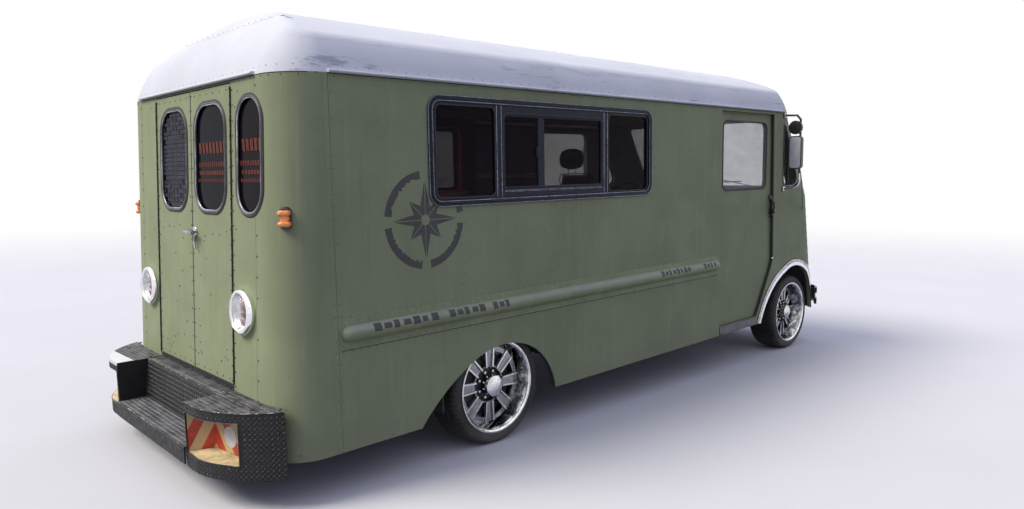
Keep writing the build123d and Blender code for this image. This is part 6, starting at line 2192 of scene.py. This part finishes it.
@dataclass
class Kitchen(Assembly):
    """Counter with doors and worktop, dark lining boards and a wood rail behind the glass."""

    bays: tuple[float, float, int] = (1940, 3120, 3)
    counter_y: Flat = (560, 1095)
    worktop_z: float = 1440.0
    fronts_z: Flat = (616, 1386)
    pocket_x: Flat = (3135, 3985)
    pocket_y: Flat = (996, 972)
    rail_z: Flat = (1590, 1638)
    inner_y: float = HALF_W - 28

    def build(self) -> None:
        """Makes and dresses all of it."""
        self.dress("cupboard", "galley")
        self.dress("floor", "floor", "step_wells")
        self.dress("liner", "wheel_boxes")
        self.doors()
        self.worktop()
        self.lining()
        self.far_window()

    def doors(self) -> None:
        """Cupboard doors with a raised frame, and their bow handles."""
        x0, x1, count = self.bays
        wide = (x1 - x0) / count
        y, (z0, z1) = self.counter_y[0], self.fronts_z
        fronts, handles = Mesh(), Mesh()
        for i in range(count):
            a, b = x0 + i * wide + 10, x0 + (i + 1) * wide - 10
            fronts.box(a, b, y - 14, y - 1, z0, z1, 3)
            for c, d, low, high in ((a, a + 46, z0, z1), (b - 46, b, z0, z1),
                                    (a + 46, b - 46, z0, z0 + 46), (a + 46, b - 46, z1 - 46, z1)):
                fronts.box(c, d, y - 19, y - 13, low, high, 2)
            bow = ((16, 1110), (44, 1122), (50, 1150), (50, 1210), (44, 1238), (16, 1250))
            handles.tube([(b - 24, y - off, z) for off, z in bow], 6)
            for z in (760, 1240):
                handles.tube([(a - 4, y - 17, z - 26), (a - 4, y - 17, z + 26)], 5, 8)
        self.put(fronts, "cupboard_doors", "cupboard", "wood")
        self.put(handles, "cupboard_handles", "dull_chrome", "chrome")

    def worktop(self) -> None:
        """Wood lipping along the worktop and a steel top with an upstand."""
        x0, x1, _ = self.bays
        (y0, y1), z = self.counter_y, self.worktop_z
        wood, steel = Mesh(), Mesh()
        wood.box(x0 - 18, x1 + 18, y0 - 30, y0 - 19, z - 34, z + 3, 4)
        steel.box(x0 - 15, x1 + 15, y0 - 20, y1 - 1, z, z + 3, 1)
        steel.box(x0 - 15, x1 + 15, y1 - 10, y1 - 1, z + 3, z + 36, 2)
        self.put(wood, "worktop_edge", "timber", "wood")
        self.put(steel, "worktop_skin", "alloy", "floor_metal")

    def lining(self) -> None:
        """Dark boards with a wood rail inside both walls and before the sliding doors' pockets."""
        boards, rails = Mesh(), Mesh()
        y, (near, far) = self.inner_y, self.pocket_y
        for side, _ in SIDES:
            boards.box(360, 3100, side * (y - 1), side * (y - 7), 800, 1440, 1)
            boards.box(360, 900, side * (y - 1), side * (y - 7), 1440, 2080, 1)
            rails.box(360, 3100, side * (y - 8), side * (y - 30), 1405, 1440, 5)
            boards.box(*self.pocket_x, side * near, side * (near + 8), 532, 2080, 1)
            rails.box(*self.pocket_x, side * near, side * far, *self.rail_z, 6)
        self.put(boards, "lining_boards", "liner", "black_plastic")
        self.put(rails, "lining_rails", "timber", "wood")

    def far_window(self) -> None:
        """Red inner frames round the side windows, as seen through the glass."""
        mesh = Mesh()
        y = self.inner_y
        for side, out in FLANKS:
            path = upright(side * (y - 5), rounded_path(938, 3017, 1470, 2096, 80))
            mesh.tube(path, 20, 8, closed=True, flat=0.4, up=out)
            for x in (1476, 2480):
                mesh.box(x - 17, x + 17, side * y, side * (y - 10), 1480, 2086, 3)
        self.put(mesh, "inner_window_frames", "red", "wood")


@dataclass
class Cab(Assembly):
    """Driver's seat with its sewn cushions, controls and dashboard."""

    seat_x: float = 4190.0
    seat_y: float = 610.0
    seat_z: float = 920.0
    back_z: float = 1317.0
    wheel_spot: Point = (4890, 610, 1400)
    # y, z and radius of each gauge
    gauges: tuple[Point, ...] = ((540, 1262, 46), (660, 1262, 46), (600, 1295, 24),
                                 (745, 1268, 30), (455, 1268, 30))

    def build(self) -> None:
        """Makes and dresses all of it."""
        self.dress("plastic", "dashboard", "steering_wheel")
        self.dress("liner", "bulkhead")
        self.dress("chassis", "seat_base")
        self.cushions()
        self.dials()
        self.controls()
        self.wheel_rim()
        self.mats()

    def pad(self, name: str, centre: Point, size: Point, lean: float, crown: float,
            cap: float, roundness: float = 0.1) -> Thing:
        """Makes one cushion: a rounded pad, blown up as cloth, with its seams laid on after.

        Args:
            name: Name of the piece.
            centre: Its middle in the body frame.
            size: Its length, width and thickness.
            lean: Angle about the van's width, in degrees.
            crown: How much the middle of its face stands out before the blowing up.
            cap: How far a point may move, in millimetres.
            roundness: 0 for a square outline, 1 for a round one.

        Returns:
            The cushion.
        """
        half = Vector(size) / 2
        count = 22
        n = count + 1
        turn = Matrix.Rotation(math.radians(lean), 3, "Y")
        points, faces = [], []
        for face, bulge in ((-1, crown * 0.25), (1, crown)):
            for i in range(n):
                for j in range(n):
                    u, v = 2 * i / count - 1, 2 * j / count - 1
                    rise = half.z * (1 - max(abs(u), abs(v)) ** 5 * 0.62)
                    rise += bulge * (1 - u * u) * (1 - v * v)
                    points.append(Vector(centre) + turn @ Vector((
                        half.x * u * math.sqrt(1 - 0.5 * roundness * v * v),
                        half.y * v * math.sqrt(1 - 0.5 * roundness * u * u), face * rise)))
        top = n * n
        for base in (0, top):
            for i in range(count):
                for j in range(count):
                    a = base + i * n + j
                    quad = (a, a + n, a + n + 1, a + 1)
                    faces.append(quad if base else quad[::-1])
        rim = [i * n for i in range(count)] + [count * n + j for j in range(count)]
        rim += [(count - i) * n + count for i in range(count)] + [count - j for j in range(count)]
        faces += [(a, b, top + b, top + a) for a, b in pairs(rim + rim[:1])]
        mesh = Mesh()
        mesh.add(points, faces)
        piece = self.put(mesh, name, "hide", "seat_vinyl", smooth=180)
        self.blow_up(piece, cap * MM)
        return piece

    @staticmethod
    def blow_up(piece: Thing, reach: float) -> None:
        """Fills a pad by a short cloth simulation and keeps the result.

        Args:
            piece: The pad.
            reach: How far a point may move, in metres.
        """
        scene = bpy.context.scene
        bpy.context.view_layer.update()
        bpy.ops.object.select_all(action="DESELECT")
        twin = link(bpy.data.objects.new("pad_form", piece.data.copy()))
        remesh = twin.modifiers.new("voxels", "REMESH")
        remesh.mode = "VOXEL"
        remesh.voxel_size = 0.006
        graph = bpy.context.evaluated_depsgraph_get()
        form = bpy.data.meshes.new_from_object(twin.evaluated_get(graph))
        twin.modifiers.clear()
        twin.data = form
        cloth = twin.modifiers.new("fill", "CLOTH").settings
        cloth.use_pressure = True
        cloth.uniform_pressure_force = 4
        cloth.quality = 6
        cloth.effector_weights.gravity = 0
        for number in range(1, 21):
            scene.frame_set(number)
        graph = bpy.context.evaluated_depsgraph_get()
        blown = twin.evaluated_get(graph).to_mesh()
        ends = []
        for old, new in zip(form.vertices, blown.vertices):
            move = new.co - old.co
            if move.length > reach:
                move = move.normalized() * reach
            ends.append(old.co + move)
        twin.modifiers.clear()
        for vertex, place in zip(form.vertices, ends):
            vertex.co = place
        form.materials.clear()
        form.materials.append(piece.data.materials[0])
        form.shade_smooth()
        piece.data = form
        bpy.data.objects.remove(twin)
        scene.frame_set(1)
        smooth = piece.modifiers.new("soft", "SUBSURF")
        smooth.levels = smooth.render_levels = 1

    def cushions(self) -> None:
        """Seat cushion, back and headrest with piping, in place of their plain solids."""
        x, y = self.seat_x, self.seat_y
        seat = self.pad("seat_cushion", (x + 228, y, self.seat_z), (440, 438, 84), 0, 10, 24)
        self.pad("seat_back", (x - 56, y, self.back_z), (640, 438, 74), -81.4, 8, 24)
        self.pad("head_rest", (x - 109, y, 1772), (206, 310, 84), -85.5, 6, 22, 0.8)
        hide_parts("seat_cushions")
        piping, posts = Mesh(), Mesh()
        piping.tube([(x + 228 + a, y + b, self.seat_z + 42)
                     for a, b in rounded_path(-213, 213, -213, 213, 42, 6)], 5, 8, closed=True)
        rise = Vector((-100, 0, 666)).normalized()
        foot = Vector((x - 18, y, self.back_z))
        piping.tube([foot + ACROSS * a + rise * b
                     for a, b in rounded_path(-213, 213, -310, 310, 48, 6)], 5, 8, closed=True)
        self.put(piping, "seat_piping", "piping", "seat_vinyl")
        for side in (-50, 50):
            posts.tube([(x - 102, y + side, 1600), (x - 108, y + side, 1700)], 7)
        self.put(posts, "head_rest_posts", "dull_chrome", "chrome")

    def dials(self) -> None:
        """Gauges with plain marks and needles, vents and switches on the dashboard."""
        faces, rims, marks = Mesh(), Mesh(), Mesh()
        slope = Vector((-100, 0, 360)).normalized()
        up = slope.cross(ACROSS)
        for y, z, r in self.gauges:
            spot = Vector((5060 + (z - 1230) * 3.6, y, z))
            rims.disc(spot, slope, ((r + 6, -2), (r + 6, 8), (r, 11), (r - 1, 5)), 32)
            faces.disc(spot, slope, ((r, 3), (r - 1, 3.6), (0, 3.7)), 32)
            for i in range(9):
                angle = math.radians(-40 + 260 * i / 8)
                ray = ACROSS * math.cos(angle) + up * math.sin(angle)
                marks.strip([spot + slope * 3.8 + ray * (r * part) for part in (0.7, 0.9)],
                            slope, 2, 0.5)
        for y in (-820, -560, -200, 200, 900):
            for z in range(1150, 1210, 12):
                marks.box(5058, 5064, y - 60, y + 60, z, z + 5, 0.5)
        for i in range(6):
            marks.disc((5056, 380 + 34 * i, 1120), BACK, ((9, -4), (8, 12), (6, 15), (0, 16)), 12)
        self.put(faces, "gauge_faces", "gauge", "white_paint")
        self.put(rims, "gauge_rims", "dull_chrome", "chrome")
        self.put(marks, "dash_marks", "plastic", "black_plastic")

    def controls(self) -> None:
        """Gear lever with a knob, hand brake and three pedals."""
        rods, knobs, pedals = Mesh(), Mesh(), Mesh()
        rods.tube([(4840, 250, 958), (4800, 250, 1120), (4770, 255, 1250)], 8)
        rods.tube([(4980, 880, 620), (4960, 880, 880), (4890, 880, 980)], 9)
        knobs.disc((4769, 255, 1246), Vector((-0.15, 0.02, 1)),
                   ((10, -6), (22, 8), (27, 22), (23, 38), (12, 47), (0, 50)))
        knobs.disc((4840, 250, 958), UP, ((60, 0), (52, 12), (36, 34), (22, 60), (12, 74)), 28)
        for y in (480, 600, 740):
            pedals.tube([(5006, y, 760), (4970, y, 690), (4940, y, 650)], 8, 8)
            pedals.box(4926, 4944, y - 34, y + 34, 600, 672, 5)
            for z in range(607, 672, 13):
                pedals.box(4922, 4928, y - 30, y + 30, z, z + 5, 1)
        self.put(rods, "cab_levers", "dull_chrome", "chrome")
        self.put(knobs, "lever_knobs", "rubber", "black_plastic")
        self.put(pedals, "pedals", "rubber", "black_plastic")

    def wheel_rim(self) -> None:
        """Horn button and finger grips of the steering wheel."""
        mesh = Mesh()
        axis = Vector((-0.5, 0, 0.866))
        up = axis.cross(ACROSS)
        spot = Vector(self.wheel_spot)
        mesh.disc(spot + axis * 14, axis, ((46, -4), (45, 4), (36, 12), (14, 16), (0, 17)), 36)
        for c, s in circle(1, 36):
            ray, along = ACROSS * c + up * s, up * c - ACROSS * s
            hub = spot + ray * 210
            mesh.loft([[hub + (ray * a + axis * b) * size + along * off
                        for a, b in circle(15.6, 10)]
                       for size, off in ((0.93, -6), (1, -4), (1, 4), (0.93, 6))])
        self.put(mesh, "steering_grips", "rubber", "black_plastic")

    def mats(self) -> None:
        """Ribbed rubber mats on the cab floor and the side steps."""
        mesh = Mesh()
        mesh.box(4030, 4620, 330, 1040, 530, 536, 2)
        mesh.box(3720, 4620, -790, -330, 530, 536, 2)
        for y in spaced(340, 1030, 23) + spaced(-780, -340, 23):
            mesh.box(4036 if y > 0 else 3726, 4614, y - 4, y + 4, 535, 540, 1)
        for side, _ in SIDES:
            mesh.box(4030, 4636, side * 815, side * 1040, 290, 295, 1)
            for x in spaced(4040, 4630, 24):
                mesh.box(x - 4, x + 4, side * 820, side * 1036, 294, 299, 1)
        self.put(mesh, "cab_mats", "rubber", "black_plastic")


# Floor, lamps and camera

@dataclass
class Studio:
    """Pale floor, soft lamps, white surroundings and the photograph's camera."""

    spot: Point = (-4.507624, -4.41963, 1.63494)
    yaw: float = 0.806383
    pitch: float = -0.0971177
    roll: float = 0.0018627
    lens: float = 26.0406
    floor_tone: Colour = (0.68, 0.68, 0.68)
    bounce: float = 0.16
    fill_tone: Colour = (0.80, 0.86, 1.36)
    fill: float = 0.35
    key_tone: Colour = (1.03, 0.97, 0.88)
    key_power: float = 2.9
    key_from: Point = (-0.66, 0.30, 0.75)
    top_power: float = 0.75
    top_tone: Colour = (0.97, 0.98, 1.10)
    cabin_power: float = 9.0
    cabin_spot: Point = (-0.4, 0.0, 2.2)
    fade: Flat = (9.0, 26.0)

    def build(self) -> None:
        """Makes the floor, the lamps, the surroundings and the camera."""
        self.floor()
        self.surroundings()
        self.lamps()
        self.camera()
        bpy.context.scene.view_settings.view_transform = "Standard"

    def floor(self) -> None:
        """Lays the pale floor under the tyres."""
        data = bpy.data.meshes.new("studio_floor")
        half = 60.0
        data.from_pydata([(-half, -half, 0), (half, -half, 0), (half, half, 0), (-half, half, 0)],
            [], [(0, 1, 2, 3)])
        ground = link(bpy.data.objects.new("studio_floor", data))
        g = Graph("pale_floor")
        tone = g.mix(g.fit(g.noise(0.6, 4.0), 0.3, 0.7), self.floor_tone, shade(self.floor_tone,
            0.97))
        rays = g.node("ShaderNodeLightPath").outputs
        seen = g.math("MAXIMUM", rays["Is Camera Ray"], rays["Is Glossy Ray"])
        seen = g.math("MAXIMUM", seen, rays["Is Transmission Ray"])
        tone = g.mix(seen, shade(self.floor_tone, self.bounce), tone)
        g.set(Base_Color=tone, Roughness=g.fit(g.noise(3.0), 0.3, 0.7, 0.8, 0.9),
              Normal=g.bump(g.noise(60.0), 0.0003))
        reach = g.node("ShaderNodeVectorMath", g.place, operation="LENGTH").outputs["Value"]
        share = g.times(g.fit(reach, *self.fade), rays["Is Camera Ray"])
        white = g.node("ShaderNodeEmission", (1.0, 1.0, 1.0), 1.0)
        mixed = g.node("ShaderNodeMixShader", share, g.shader.outputs[0], white.outputs[0])
        g.tree.links.new(mixed.outputs[0], g.tree.nodes["Material Output"].inputs["Surface"])
        data.materials.append(g.material)

    def surroundings(self) -> None:
        """Lights the object by a cool sky, seen as plain white by the camera and in gloss."""
        world = bpy.data.worlds.new("studio_sky")
        bpy.context.scene.world = world
        world.use_nodes = True
        tree = world.node_tree
        sky = tree.nodes["Background"]
        sky.inputs["Color"].default_value = (*self.fill_tone, 1.0)
        sky.inputs["Strength"].default_value = self.fill
        white = tree.nodes.new("ShaderNodeBackground")
        white.inputs["Color"].default_value = (1.0, 1.0, 1.0, 1.0)
        white.inputs["Strength"].default_value = 1.0
        rays = tree.nodes.new("ShaderNodeLightPath")
        share = rays.outputs["Is Camera Ray"]
        for word in ("Is Glossy Ray", "Is Transmission Ray"):
            top = tree.nodes.new("ShaderNodeMath")
            top.operation = "MAXIMUM"
            tree.links.new(share, top.inputs[0])
            tree.links.new(rays.outputs[word], top.inputs[1])
            share = top.outputs[0]
        mixed = tree.nodes.new("ShaderNodeMixShader")
        tree.links.new(share, mixed.inputs[0])
        tree.links.new(sky.outputs[0], mixed.inputs[1])
        tree.links.new(white.outputs[0], mixed.inputs[2])
        tree.links.new(mixed.outputs[0], tree.nodes["World Output"].inputs["Surface"])

    def lamps(self) -> None:
        """Sets a soft key from behind, a very wide one from above and a weak lamp in the van."""
        suns = (("key", self.key_power, self.key_tone, 28.0, self.key_from),
                ("top", self.top_power, self.top_tone, 120.0, (0.0, 0.0, 1.0)))
        for name, power, tone, spread, origin in suns:
            data = bpy.data.lights.new(name, "SUN")
            data.energy = power
            data.color = tone
            data.angle = math.radians(spread)
            lamp = link(bpy.data.objects.new(name, data))
            lamp.rotation_euler = Vector(origin).to_track_quat("Z", "Y").to_euler()
        glow = bpy.data.lights.new("cabin", "AREA")
        glow.shape = "RECTANGLE"
        glow.size = 2.4
        glow.size_y = 0.8
        glow.energy = self.cabin_power
        inside = link(bpy.data.objects.new("cabin", glow))
        inside.location = self.cabin_spot
        inside.visible_camera = inside.visible_glossy = False

    def camera(self) -> None:
        """Places the camera where the photograph was taken from."""
        ahead = Vector((math.cos(self.yaw) * math.cos(self.pitch),
                        math.sin(self.yaw) * math.cos(self.pitch), math.sin(self.pitch)))
        level = Vector((math.sin(self.yaw), -math.cos(self.yaw), 0.0))
        rise = level.cross(ahead)
        right = level * math.cos(self.roll) + rise * math.sin(self.roll)
        up = rise * math.cos(self.roll) - level * math.sin(self.roll)
        data = bpy.data.cameras.new("camera")
        data.sensor_fit = "HORIZONTAL"
        data.sensor_width = 36.0
        data.lens = self.lens
        view = link(bpy.data.objects.new("camera", data))
        place = Matrix((right, up, -ahead)).transposed().to_4x4()
        place.translation = Vector(self.spot)
        view.matrix_world = place
        bpy.context.scene.camera = view


def main() -> None:
    """Builds every sub-assembly in order."""
    logging.basicConfig(level=logging.INFO, format="%(name)s: %(message)s")
    palette = Palette()
    parts = (BodyShell(palette), Roof(palette), RearWindows(palette), RoundLamps(palette),
             CornerMarkers(palette), StepBumper(palette), SideWindows(palette), SideDoors(palette),
             Trims(palette), FrontEnd(palette), Wheels(palette), Kitchen(palette), Cab(palette),
             Underbody(palette), Studio())
    for part in parts:
        LOG.info("building %s", type(part).__name__)
        part.build()


if __name__ == "__main__":
    main()
